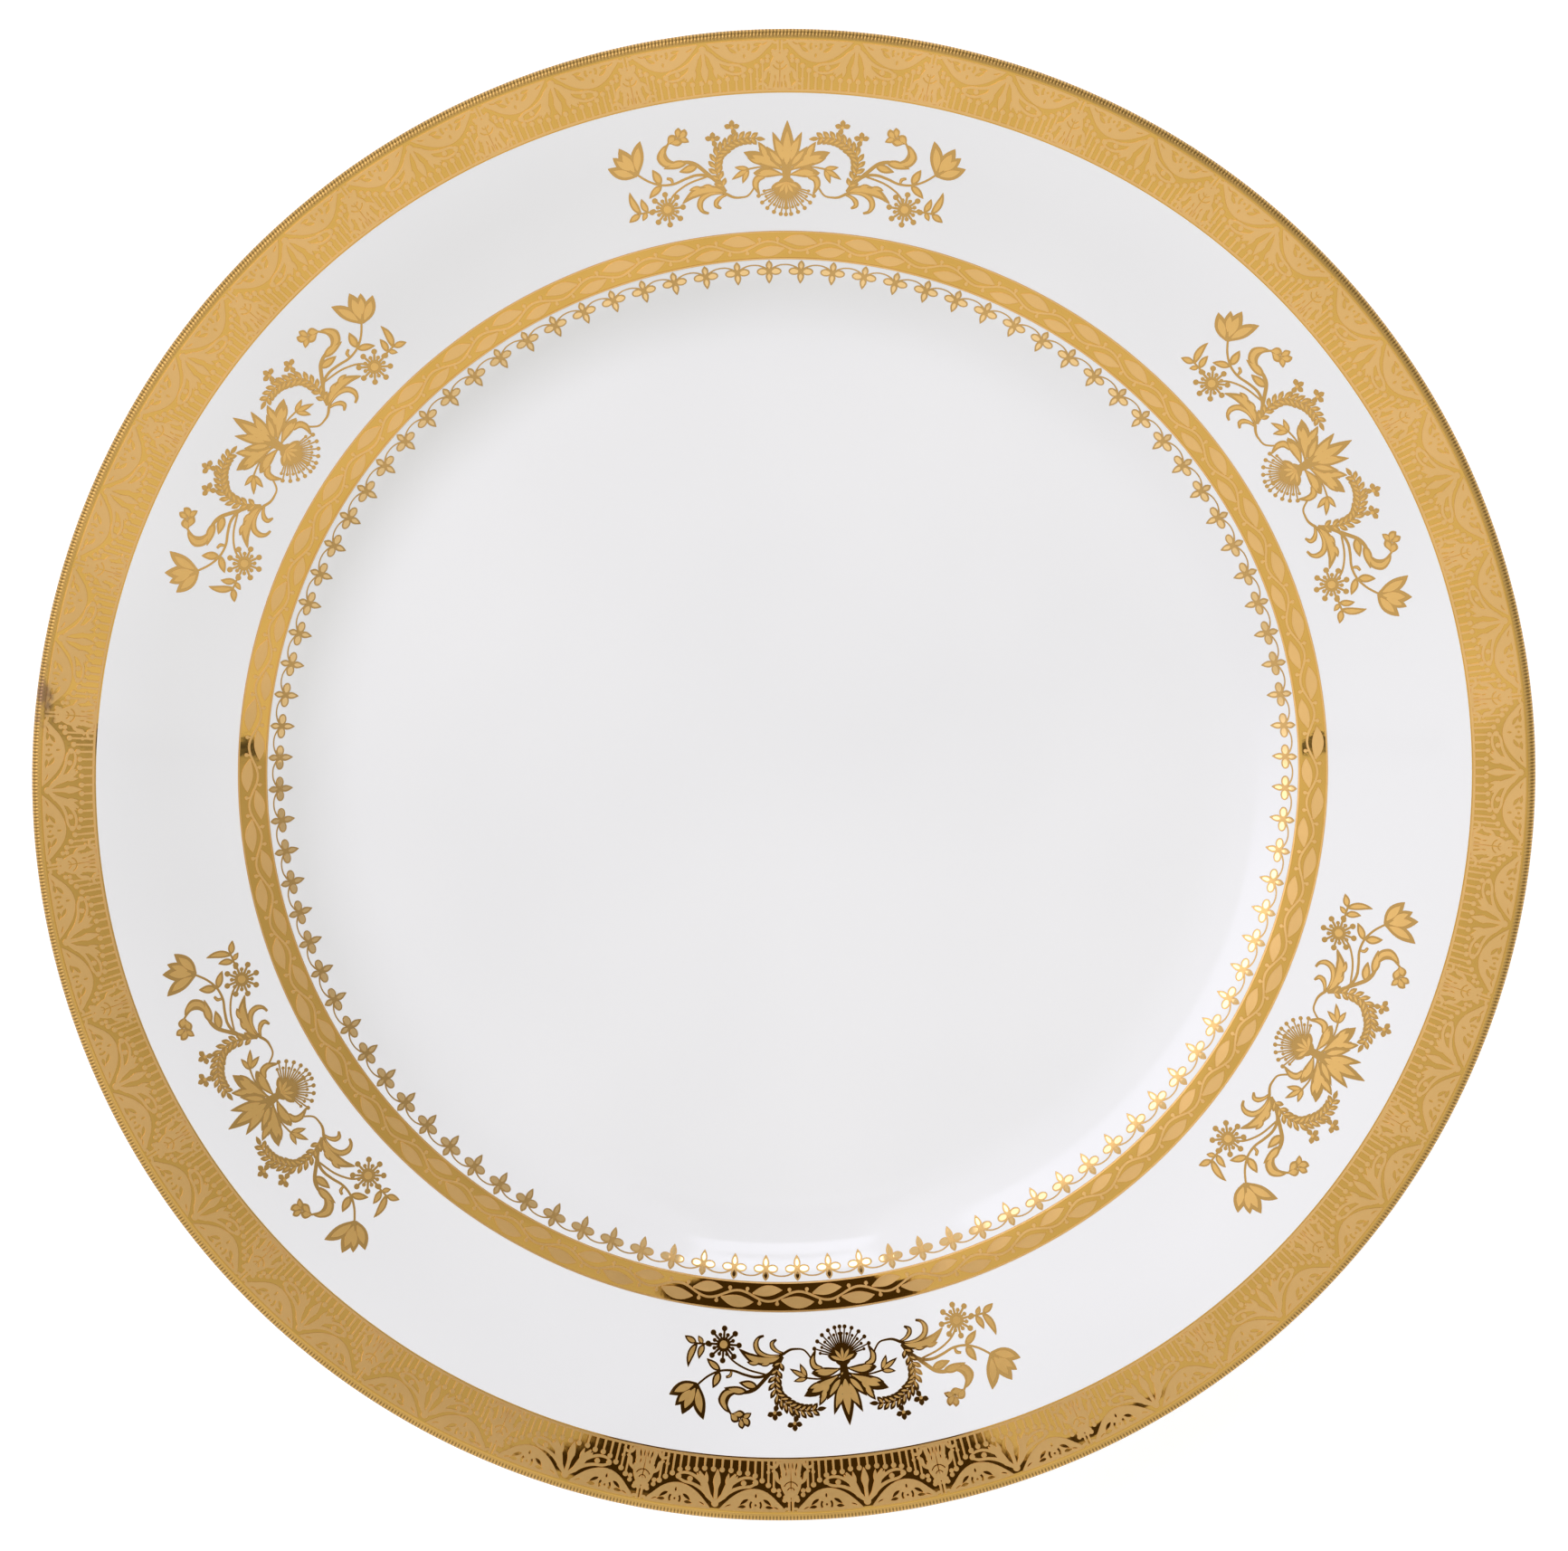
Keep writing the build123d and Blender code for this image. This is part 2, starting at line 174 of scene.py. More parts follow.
# ------------------------------------------------------------------ plan drawing
# A plan is a list of convex cells, each a list of (along, out) points in millimetres: along the
# ring, clockwise seen from above, and outwards. Headings are degrees from straight out.
def walk(x, y, heading, length, turn0, turn1, steps):
    """Spine points of a curve whose rate of turning goes from turn0 to turn1 degrees per length."""
    points = [(x, y)]
    for k in range(steps):
        s = (k + 0.5) / steps
        h = math.radians(heading + turn0 * s + (turn1 - turn0) * s * s / 2)
        x += math.sin(h) * length / steps
        y += math.cos(h) * length / steps
        points.append((x, y))
    return points


def smooth(points, steps):
    """Catmull-Rom curve through the points."""
    p = np.array([points[0], *points, points[-1]], float)
    found = []
    for i in range(1, len(p) - 2):
        for k in range(steps):
            t = k / steps
            a, b, c, d = p[i - 1], p[i], p[i + 1], p[i + 2]
            found.append(0.5 * (2 * b + (c - a) * t + (2 * a - 5 * b + 4 * c - d) * t**2
                                + (3 * b - 3 * c + d - a) * t**3))
    found.append(p[-2])
    return found


def band(spine, widths):
    """Cells of a strip along the spine with the given full widths at its points."""
    spine = np.array(spine, float)
    widths = np.interp(np.linspace(0, 1, len(spine)), np.linspace(0, 1, len(widths)), widths)
    tangent = np.gradient(spine, axis=0)
    tangent /= np.maximum(np.linalg.norm(tangent, axis=1), TINY)[:, None]
    normal = np.stack([-tangent[:, 1], tangent[:, 0]], 1) * widths[:, None] / 2
    left, right = spine + normal, spine - normal
    return [[tuple(left[k]), tuple(right[k]), tuple(right[k + 1]), tuple(left[k + 1])]
            for k in range(len(spine) - 1)]


def disc(x, y, radius, corners=12):
    """Round cell."""
    turns = [2 * math.pi * k / corners for k in range(corners)]
    return [[(x + radius * math.cos(a), y + radius * math.sin(a)) for a in turns]]


def ring_cells(x, y, radius, width, corners, start, sweep):
    """Cells of an arc; start is a heading and sweep a turn, in degrees."""
    turns = [math.radians(start + sweep * k / corners) for k in range(corners + 1)]
    return band([(x + radius * math.sin(a), y + radius * math.cos(a)) for a in turns], [width, width])


def stem(points, widths, steps=5):
    """Tapered stem through given points."""
    return band(smooth(points, steps), widths)


BLADE_STEPS = 9
BLADE_FULLNESS = 0.85  # the lower it is, the more the sides bulge
BLADE_ROOT, BLADE_TIP = 0.12, 0.03  # widths of its two ends as shares of the blade's width


def blade(x, y, heading, length, width, bend=0.0, belly=0.42):
    """Leaf or petal with a pointed tip, widest at the share belly of its length."""
    spine = walk(x, y, heading, length, bend, bend, BLADE_STEPS)
    power = math.log(0.5) / math.log(belly)
    shares = np.linspace(0, 1, BLADE_STEPS + 1)
    widths = width * np.sin(math.pi * shares**power) ** BLADE_FULLNESS
    widths[0], widths[-1] = width * BLADE_ROOT, width * BLADE_TIP
    return band(spine, widths)


def mirrored(cells):
    """The cells and their mirror images about the middle line."""
    return cells + [[(-x, y) for x, y in reversed(cell)] for cell in cells]


SMALLEST_AREA = 1e-6
MERGE_DISTANCE = 1e-5


def signed_area(cell):
    """Twice the area of a polygon, positive if it runs counter-clockwise."""
    return sum(x0 * y1 - x1 * y0 for (x0, y0), (x1, y1) in zip(cell, cell[1:] + cell[:1]))


def union(cells, holes=()):
    """Points and triangles of the union of the cells less the holes."""
    verts, faces, kinds = [], [], []
    for kind, group in ((1, cells), (0, holes)):
        for cell in group:
            area = signed_area(cell)
            if abs(area) < SMALLEST_AREA:
                continue
            cell = cell if area > 0 else cell[::-1]
            faces.append(list(range(len(verts), len(verts) + len(cell))))
            verts.extend(cell)
            kinds.append(kind)
    # Output type 1 keeps the triangles inside the faces; sources tells which faces each lies in.
    out, _, tris, _, _, sources = delaunay_2d_cdt([Vector(v) for v in verts], [], faces, 1, MERGE_DISTANCE)
    kept = []
    for tri, source in zip(tris, sources):
        if source and all(kinds[s] for s in source):
            kept.append(tri if signed_area([out[i] for i in tri]) > 0 else tri[::-1])
    used = sorted({i for tri in kept for i in tri})
    place = {old: new for new, old in enumerate(used)}
    points = np.array([out[i] for i in used], float)
    return points, np.array([[place[i] for i in tri] for tri in kept], int)


def rim_edges(tris):
    """Directed edges that belong to one triangle only."""
    found = {}
    for a, b, c in tris:
        for edge in ((a, b), (b, c), (c, a)):
            found[edge] = found.get(edge, 0) + 1
    return np.array([edge for edge in found if (edge[1], edge[0]) not in found], int)


def on_face(points, angle, radius, lift, flat=False):
    """Lays plan points on the glazed face about a place on a circle; lift is above the glaze.

    The plan bends round with the circle, or stays flat as one transfer does.
    """
    if flat:
        r = np.hypot(points[:, 0], radius + points[:, 1])
        a = math.radians(angle) - np.arctan2(points[:, 0], radius + points[:, 1])
    else:
        r = radius + points[:, 1]
        a = math.radians(angle) - points[:, 0] / radius
    return np.stack([r * np.cos(a), r * np.sin(a), face_height(r) + lift], 1)


def relief(name, plan, places, low, high, material, bevel=0.05, flat=False):
    """Raised ornament: the plan laid at each (angle, radius), as closed solids with sloped edges."""
    points, tris = plan
    edges = rim_edges(tris)
    push = np.zeros_like(points)
    for a, b in edges:
        along = points[b] - points[a]
        out = np.array([along[1], -along[0]]) / max(np.linalg.norm(along), TINY)
        push[a] += out
        push[b] += out
    size = np.linalg.norm(push, axis=1)
    push[size > TINY] *= bevel / size[size > TINY][:, None]
    count = len(points)
    walls = np.stack([edges[:, 0] + count, edges[:, 1] + count, edges[:, 1], edges[:, 0]], 1)
    verts, loops, sizes = [], [], []
    for index, (angle, radius) in enumerate(places):
        start = index * 2 * count
        verts.append(on_face(points, angle, radius, high, flat))
        verts.append(on_face(points + push, angle, radius, low, flat))
        loops += [(tris + start).ravel(), (tris[:, ::-1] + start + count).ravel(), (walls + start).ravel()]
        sizes += [np.full(2 * len(tris), 3), np.full(len(walls), 4)]
    return new_object(name, np.concatenate(verts), np.concatenate(loops), np.concatenate(sizes), material)


# ------------------------------------------------------------------ materials
TARNISH_SPOT = (-0.1325, 0.0155, 0.0228)  # metres
TARNISH_SQUEEZE = (1.0, 0.36, 1.0)  # below 1 the spot is drawn out along that axis
TARNISH_REACH = (0.0002, 0.0022)  # metres
TARNISH_MOST = 0.75
TARNISH_TONE = (0.26, 0.15, 0.10)
RAGGED = 0.001  # metres
MILL_COUNT = 1360
MILL_START = 0.1339  # metres from the axis
MILL_BLEND = 0.0002  # metres
NOISE_MIDDLE = (0.35, 0.65)  # the part of a noise's range that a tone follows
NOISE_WIDE = (0.3, 0.7)


class Tree:
    """A material's or the world's node tree, with short ways to add nodes to it."""

    def __init__(self, owner):
        owner.use_nodes = True
        self.nodes, self.links = owner.node_tree.nodes, owner.node_tree.links

    def plug(self, socket, value):
        """Links an output to the socket, or sets the socket to a value."""
        if isinstance(value, bpy.types.NodeSocket):
            self.links.new(value, socket)
        else:
            socket.default_value = value

    def feed(self, node, **inputs):
        """Plugs values or outputs into a node's sockets, named with _ for a space."""
        for name, value in inputs.items():
            self.plug(node.inputs[name.replace("_", " ")], value)

    def new(self, kind, settings=None, **inputs):
        """New shader node, with its settings made before its inputs."""
        node = self.nodes.new("ShaderNode" + kind)
        for name, value in (settings or {}).items():
            setattr(node, name, value)
        self.feed(node, **inputs)
        return node

    def coordinates(self, kind):
        return self.new("TexCoord").outputs[kind]

    def noise(self, scale, detail):
        """Value of a noise in object coordinates."""
        where = self.coordinates("Object")
        return self.new("TexNoise", Vector=where, Scale=scale, Detail=detail, Roughness=0.5).outputs["Fac"]

    def remap(self, source, low, high, to_low, to_high, interpolation="LINEAR"):
        """Takes a source from one range to another, and holds it at the ends."""
        return self.new("MapRange", {"interpolation_type": interpolation}, Value=source, From_Min=low,
                        From_Max=high, To_Min=to_low, To_Max=to_high).outputs["Result"]

    def step(self, source, low, high, to_low=0, to_high=1):
        """Smooth rise between low and high, or a fall if low is above high."""
        if low > high:
            low, high, to_low, to_high = high, low, to_high, to_low
        return self.remap(source, low, high, to_low, to_high, "SMOOTHSTEP")

    def window(self, source, low, high, soft):
        """1 between low and high, with soft edges."""
        return self.times(self.step(source, low - soft, low + soft),
                          self.step(source, high + soft, high - soft))

    def mix(self, factor, first, second):
        """Colour that goes from first to second with the factor; each is a tone or an output."""
        first, second = ((*tone, 1) if isinstance(tone, tuple) else tone for tone in (first, second))
        return self.new("Mix", {"data_type": "RGBA"}, Factor=factor, A=first, B=second).outputs["Result"]

    def bump(self, source, distance):
        """Normal of a bump; distance in metres."""
        return self.new("Bump", Height=source, Distance=distance, Strength=1.0).outputs["Normal"]

    def maths(self, operation, first, *others):
        """Math operation on one value, or folded over several."""
        for value in others or (0,):
            node = self.new("Math", {"operation": operation})
            self.plug(node.inputs[0], first)
            self.plug(node.inputs[1], value)
            first = node.outputs[0]
        return first

    def times(self, *values):
        return self.maths("MULTIPLY", *values)

    def plus(self, *values):
        return self.maths("ADD", *values)

    def less(self, mask, amount=1.0):
        """1 where the mask is 0, down to 1 - amount where it is 1."""
        return self.maths("SUBTRACT", 1.0, self.times(mask, amount))

    def vector_maths(self, operation, first, second=(0, 0, 0)):
        """Vector Math node on two outputs or vectors."""
        node = self.new("VectorMath", {"operation": operation})
        self.plug(node.inputs[0], first)
        self.plug(node.inputs[1], second)
        return node

    def scaled(self, colour, level):
        """A colour times a level."""
        node = self.vector_maths("SCALE", colour)
        self.feed(node, Scale=level)
        return node.outputs[0]

    def sideways(self, kind):
        """The x and y of a kind of coordinates, and how far they reach from the axis."""
        x, y, _ = self.new("SeparateXYZ", Vector=self.coordinates(kind)).outputs
        return x, y, self.maths("SQRT", self.plus(self.times(x, x), self.times(y, y)))


def painted(name, paint, **finish):
    """New material; paint gives its linked inputs from its tree, and finish its plain ones."""
    material = bpy.data.materials.new(name)
    tree = Tree(material)
    tree.feed(tree.nodes["Principled BSDF"], **paint(tree), **finish)
    return material


def glaze(tree):
    """Clear glaze over white china, with a faint ripple."""
    tone = tree.remap(tree.noise(14.0, 2.0), *NOISE_MIDDLE, 0, 1)
    return {"Base_Color": tree.mix(tone, (0.862, 0.859, 0.858), (0.89, 0.886, 0.885)),
            "Normal": tree.bump(tree.noise(45.0, 1.0), 0.00006)}


def bare_porcelain(tree):
    """Unglazed china under the foot: matte and fine grained."""
    grain = tree.noise(2600.0, 4.0)
    return {"Base_Color": tree.mix(grain, (0.74, 0.72, 0.68), (0.86, 0.845, 0.81)),
            "Roughness": tree.remap(grain, *NOISE_WIDE, 0.62, 0.8), "Normal": tree.bump(grain, 0.00004)}


def tarnish_mask(tree):
    """High in the ragged middle of the tarnished spot near the lip, 0 away from it."""
    gap = tree.vector_maths("SUBTRACT", tree.coordinates("Object"), TARNISH_SPOT).outputs[0]
    squeezed = tree.vector_maths("MULTIPLY", gap, TARNISH_SQUEEZE).outputs[0]
    reach = tree.vector_maths("LENGTH", squeezed).outputs["Value"]
    ragged = tree.remap(tree.noise(500.0, 4.0), *NOISE_WIDE, -RAGGED, RAGGED)
    return tree.step(tree.plus(reach, ragged), *TARNISH_REACH, TARNISH_MOST, 0)


def groove_shade_mask(tree):
    """Where painted shade goes on the lip: 1 in the grooves between the milled ridges on the outer side of
    the lip, 0 on the ridges.
    """
    x, y, reach = tree.sideways("Object")
    ridge = tree.maths("COSINE", tree.times(tree.maths("ARCTAN2", y, x), MILL_COUNT))
    outer = tree.step(reach, MILL_START - MILL_BLEND, MILL_START + MILL_BLEND)
    return tree.times(outer, tree.remap(ridge, 0.4, -0.8, 0, 1))


def gold_material(name, tones, roughness, grain, groove_shade=None):
    """Fired gold: two tones and a roughness that drift, and a grain of a scale and a depth in metres.

    A groove shade tone darkens the gold between the ridges of the lip, as painted shade.
    """
    def paint(tree):
        colour = tree.mix(tree.remap(tree.noise(60.0, 4.0), *NOISE_MIDDLE, 0, 1), *tones)
        if groove_shade:
            colour = tree.mix(groove_shade_mask(tree), colour, groove_shade)
        grain_scale, grain_depth = grain
        height = tree.noise(grain_scale, 3.0)
        return {"Base_Color": tree.mix(tarnish_mask(tree), colour, TARNISH_TONE),
                "Roughness": tree.remap(height, *NOISE_WIDE, *roughness),
                "Normal": tree.bump(height, grain_depth)}

    return painted(name, paint, Metallic=1.0)


MIRROR, POLISHED = (0.02, 0.05), (0.03, 0.07)  # the two ends of a roughness
FINE_GRAIN, SANDY_GRAIN = (900, 0.000002), (3500, 0.00001)
GLAZE_PAINT = painted("glaze", glaze, Roughness=0.07, IOR=1.5, Specular_IOR_Level=0.34)
BARE_PAINT = painted("porcelain", bare_porcelain)
BRIGHT_GOLD = gold_material("bright_gold", ((0.765, 0.455, 0.108), (0.82, 0.49, 0.124)), MIRROR, FINE_GRAIN)
# Edge gold is the bright gold darkened, as painted shade on the sprays' outlines.
SHADED_EDGE_GOLD = gold_material("edge_gold", ((0.62, 0.375, 0.12), (0.67, 0.405, 0.135)), POLISHED, FINE_GRAIN)
# Petal gold is the bright gold made paler, as a painted highlight on the fleurons' petals.
HIGHLIGHT_PETAL_GOLD = gold_material("highlight_petal_gold", ((0.80, 0.545, 0.25), (0.85, 0.585, 0.28)), POLISHED, FINE_GRAIN)
MATTE_GOLD = gold_material("matte_gold", ((0.86, 0.535, 0.20), (0.91, 0.565, 0.22)), (0.30, 0.38),
                           SANDY_GRAIN)
SATIN_GOLD = gold_material("satin_gold", ((0.85, 0.525, 0.175), (0.89, 0.55, 0.19)), (0.31, 0.36),
                           (900, 0.000001))
# Line gold is the bright gold darkened, as painted shade round the fleurons' domed petals.
SHADED_LINE_GOLD = gold_material("shaded_line_gold", ((0.54, 0.335, 0.12), (0.62, 0.385, 0.14)), (0.26, 0.36),
                          SANDY_GRAIN)
# The lip's gold is a darker copy of the bright gold: painted shade on the rolled lip, with more painted shade
# in the grooves between its ridges.
SHADED_LIP_GOLD = gold_material("shaded_lip_gold", ((0.64, 0.39, 0.115), (0.71, 0.43, 0.13)), (0.32, 0.42),
                         (1800, 0.00001), groove_shade=(0.27, 0.155, 0.045))


def paint_node(name, material):
    """Gives a CAD node that stays in view its material."""
    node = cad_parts[name]
    node.data.materials.clear()
    node.data.materials.append(material)


def finish_piece(obj, slot, *nodes):
    """Hides the CAD nodes that the piece stands for. The slot is not used."""
    if nodes:
        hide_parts(*nodes)
    return obj


# ------------------------------------------------------------------ porcelain and glaze
FACE_SEGMENTS = 420
BACK_SKIPPED = 3  # points at the start of the back's arcs that the coat cuts across
UNDER_STEPS = 8


def back_side(drop):
    """Underside from the foot ring to the lip's tip, at a drop below the bare porcelain."""
    foot_r, foot_z = FOOT_OUTER
    start_r, start_z = BACK_ARCS[0]
    wall = [(foot_r + drop, foot_z), (start_r + drop / 2, start_z - drop)]
    arcs = [(r, z - drop) for r, z in BACK_ARCS[BACK_SKIPPED:]]
    (end_r, end_z), (tip_r, tip_z) = arcs[-1], lip_point(drop, 1)
    turns = [math.pi / 2 * k / UNDER_STEPS for k in range(1, UNDER_STEPS + 1)]
    under = [(end_r + (tip_r - end_r) * math.sin(a), end_z + (tip_z - end_z) * (1 - math.cos(a)))
             for a in turns]
    return wall + arcs + under


def build_china():
    """Glaze coats on both sides; the body and the glaze inside the foot ring are the CAD's own."""
    face = lathe("china_face", face_line(0.0) + face_line(GLAZE)[::-1], FACE_SEGMENTS, GLAZE_PAINT)
    finish_piece(face, "glaze", "face_glaze")
    back = lathe("china_back", back_side(GLAZE) + back_side(0.0)[::-1], FACE_SEGMENTS, GLAZE_PAINT)
    finish_piece(back, "glaze", "back_glaze")
    paint_node("porcelain_body", BARE_PAINT)
    paint_node("base_glaze", GLAZE_PAINT)


# ------------------------------------------------------------------ gilt films and lip
# Lifts are millimetres over the glaze. Each piece starts a little below what it lies on, so that no gap
# shows.
OUTER_BAND = (123.5, 133.6)
INNER_BAND = (92.9, 98.2)
FILM_ROOT, FILM = -0.03, 0.035
FILM_CHAMFER = 0.03
RELIEF_ROOT, RELIEF_HIGH = FILM - 0.02, 0.10
GOLD_SEGMENTS = 720
LIP_START = 0.13  # share of the lip where its gold begins
LIP_FILM = 0.05
MILL_DEPTH = 0.09
LIP_STEPS, STEPS_PER_RIDGE = 11, 5


def build_films():
    """Mirror gold ground of the two bands."""
    outer = coat("rim_gold", FILM_ROOT, FILM, *OUTER_BAND, GOLD_SEGMENTS, BRIGHT_GOLD, FILM_CHAMFER)
    finish_piece(outer, "bright_gold", "rim_gold_band")
    inner = coat("verge_gold", FILM_ROOT, FILM, *INNER_BAND, GOLD_SEGMENTS, BRIGHT_GOLD, FILM_CHAMFER)
    finish_piece(inner, "bright_gold", "inner_gold_band")


def build_lip():
    """Gold over the rolled lip, milled with fine radial ridges; its gold is darkened as painted shade, most
    of all in the grooves.
    """
    segments = MILL_COUNT * STEPS_PER_RIDGE
    angles = np.arange(segments) * 2 * math.pi / segments
    ridge = 0.5 + 0.5 * np.cos(angles * MILL_COUNT)
    verts = []
    shares = [LIP_START + (1 - LIP_START) * k / LIP_STEPS for k in range(LIP_STEPS + 1)]
    last = LIP_STEPS - 2  # the ridges run out before the tip
    for k, share in enumerate(shares):
        depth = MILL_DEPTH * math.sin(math.pi * k / last) ** 0.5 if 0 < k < last else 0.0
        r0, z0 = lip_point(GLAZE + LIP_FILM, share)
        r1, z1 = lip_point(GLAZE + LIP_FILM + depth, share)
        r, z = r0 + (r1 - r0) * ridge, z0 + (z1 - z0) * ridge
        verts.append(np.stack([r * np.cos(angles), r * np.sin(angles), z], 1))
    for share in (shares[-1], shares[0]):
        r, z = lip_point(GLAZE - LIP_FILM, share)
        verts.append(np.stack([r * np.cos(angles), r * np.sin(angles), np.full(segments, z)], 1))
    rows = len(verts)
    here = np.arange(segments)
    after = (here + 1) % segments
    quads = []
    for row in range(rows):
        up = (row + 1) % rows
        quads.append(np.stack([up * segments + here, up * segments + after,
                               row * segments + after, row * segments + here], 1))
    quads = np.concatenate(quads)
    lip = new_object("shaded_lip_gold", np.concatenate(verts), quads.ravel(), np.full(len(quads), 4), SHADED_LIP_GOLD)
    finish_piece(lip, "bright_gold", "rim_edge_gold")


# ------------------------------------------------------------------ ornament plans
# How many go round, the angle of the first one in degrees, and the radius that its plan is laid on.
FAN_COUNT, FAN_START, FAN_RADIUS = 30, 0.45, 129.0
LEAF_COUNT, LEAF_START, LEAF_RADIUS = 55, 3.25, 95.45
FLEURON_COUNT, FLEURON_START, FLEURON_RADIUS = 100, 1.6, 90.7
LEAF_PERIOD = math.radians(360 / LEAF_COUNT) * LEAF_RADIUS
SPRAY_RADIUS = 110.7
SPRAY_ANGLES = [89.8, 30.9, -27.9, -84.3, -147.8, 146.4]  # degrees; not quite sixths of the turn
BAND_FOOT = -4.85  # where the outer band's ornament meets its inner line
# A leaf's matte filling as shares of the leaf.
FILLING_START, FILLING_LENGTH, FILLING_WIDTH = 0.14, 0.66, 0.56


def inset_leaf(x, y, heading, length, width, bend=0.0, belly=0.42):
    """A leaf's outline and, inside it, the smaller leaf that fills it."""
    turned = bend * FILLING_START
    first = walk(x, y, heading, FILLING_START * length, turned, turned, 2)[-1]
    outline = blade(x, y, heading, length, width, bend, belly)
    filling = blade(*first, heading + turned, FILLING_LENGTH * length, FILLING_WIDTH * width,
                    bend * FILLING_LENGTH, belly)
    return outline, filling


def draw_rim_swag():
    """Lunette between a fan and a tassel, with the cut-outs that stay bright."""
    low = smooth([(0.75, 4.1), (1.4, 3.3), (2.5, 2.15), (3.8, 1.1), (5.4, 0.35), (7.0, 0.1),
                  (8.6, 0.45), (10.0, 1.3), (11.2, 2.5), (12.0, 3.3), (12.45, 4.1)], 2)
    body = [[tuple(a), (a[0], 4.12), (b[0], 4.12), tuple(b)] for a, b in zip(low, low[1:])]
    holes = ring_cells(7.2, 3.0, 0.95, 0.42, 8, -130, 75) + ring_cells(7.2, 3.0, 0.95, 0.42, 8, 55, 75)
    holes += disc(7.2, 3.0, 0.24, 8) + blade(7.2, 1.75, 180, 0.85, 0.42)
    holes += blade(5.9, 2.0, -68, 1.9, 0.62, 30) + blade(8.5, 2.0, 68, 1.9, 0.62, -30)
    holes += blade(5.5, 3.35, -96, 1.5, 0.62, 24) + blade(8.9, 3.35, 96, 1.5, 0.62, -24)
    holes += blade(2.9, 3.1, -84, 1.3, 0.26, 40) + blade(10.3, 3.3, 84, 1.2, 0.26, -40)
    return union(mirrored(body), mirrored(holes))


def draw_rim_fan():
    """Fan of curved petals with rolled side scrolls."""
    half = band([(0.25, 2.9), (1.35, 1.75), (2.0, 0.5), (2.5, -0.9), (3.35, -2.3)],
                [0.5, 1.0, 1.35, 1.25, 0.3])
    half += blade(2.1, 0.1, 195, 2.5, 0.75, -30) + blade(2.6, -0.5, 130, 1.9, 0.7, 25)
    half += stem([(0.8, 2.35), (2.5, 0.85), (4.3, 0.02), (6.0, -0.25), (7.0, -0.75)], [0.75, 0.5, 0.42])
    half += disc(7.05, -1.0, 0.5) + disc(4.9, -0.8, 0.48)
    half += stem([(7.3, -1.25), (6.3, -1.75), (5.0, -1.75), (3.7, -1.2), (2.6, -0.4)], [0.3, 0.45, 0.5, 0.6])
    half += stem([(0.1, 2.6), (0.12, 0.5), (0.3, -0.8)], [0.4, 0.45, 0.8])
    middle = disc(0, 3.1, 0.62) + blade(0, 0.0, 180, 3.0, 1.3, 0, 0.3)
    return union(mirrored(half) + middle)


PINS = [(0.8, -2.95), (2.45, -2.95), (4.0, -2.6), (5.55, -2.6), (6.95, -2.2), (8.25, -1.4), (9.4, -0.6),
        (10.4, 0.25)]
DOTS = [(11.35, 1.1), (12.35, 2.05)]


def draw_rim_pins():
    """Row of ball-headed pins that hang from the border."""
    half = []
    for x, top in PINS:
        half += disc(x, top, 0.47, 10) + band([(x, BAND_FOOT), (x, top - 0.3)], [0.42, 0.3])
    for x, y in DOTS:
        half += disc(x, y, 0.4, 10)
    return union(mirrored(half))


def draw_rim_tassel():
    """Tassel between two swags, hung from twin bars, with two nested arches cut in it."""
    half = band([(0.34, 0.9), (0.34, 4.1)], [0.36, 0.36])
    half += band([(0.2, 3.6), (0.9, 3.6), (1.6, 4.0)], [0.5, 0.5, 0.4])
    half += band([(0.3, 1.7), (0.55, 0.9), (0.9, -0.2), (1.05, -1.5), (0.9, -2.8), (1.1, BAND_FOOT)],
                 [0.8, 1.2, 1.6, 1.9, 1.7, 2.2])
    half += disc(1.0, 1.55, 0.42, 10) + disc(0.4, 2.05, 0.4, 10)
    half += stem([(1.6, -0.9), (2.5, -1.6), (2.8, -2.7), (3.5, -3.2)], [0.5, 0.6, 0.7, 0.25])
    half += stem([(2.3, BAND_FOOT), (2.8, -3.9), (3.7, -3.8), (4.3, -4.4)], [0.6, 0.55, 0.45, 0.3])
    half += disc(2.2, 0.35, 0.4, 10) + disc(4.15, -2.9, 0.33, 10)
    arches = ring_cells(0, 0.1, 1.3, 0.24, 12, 112, 136) + ring_cells(0, 0.45, 0.62, 0.22, 10, 100, 160)
    sides = blade(1.2, -4.6, -12, 1.5, 0.38) + blade(1.75, -1.9, 160, 1.0, 0.32)
    sides += blade(0.35, -4.6, 0, 1.3, 0.28) + blade(0.9, -2.2, 186, 0.9, 0.26)
    return union(mirrored(half), arches + mirrored(sides))


def draw_garland():
    """One period of the leaf garland: a wavy stem, a leaf in each hollow and pairs of berries."""
    steps = 28
    wave = [(-LEAF_PERIOD * 3 / 4 + LEAF_PERIOD * k / steps,
             -0.85 * math.cos(2 * math.pi * (k / steps - 0.75))) for k in range(steps + 1)]
    cells = band(wave, [0.36, 0.36])
    cells += blade(3.1, 0.55, -75, 5.9, 2.05, -20, 0.5)
    cells += blade(2.85 - LEAF_PERIOD / 2, -0.45, -106, 5.4, 1.85, 18, 0.5)
    for side in (-1, 1):
        x, y = 1.6 * side, -1.2
        cells += disc(x, y, 0.33, 10) + band([(x, y), (0.95 * x, y / 2)], [0.3, 0.3])
        x, y = 1.6 * side - LEAF_PERIOD / 2, 1.25
        cells += disc(x, y, 0.33, 10) + band([(x, y), (x, y / 2)], [0.3, 0.3])
    return union(cells)


OVAL_CORNERS = 18


def oval(x, y, half_along, half_out):
    """Oval cell with its long side along the ring."""
    turns = [2 * math.pi * k / OVAL_CORNERS for k in range(OVAL_CORNERS)]
    return [[(x + half_along * math.cos(a), y + half_out * math.sin(a)) for a in turns]]


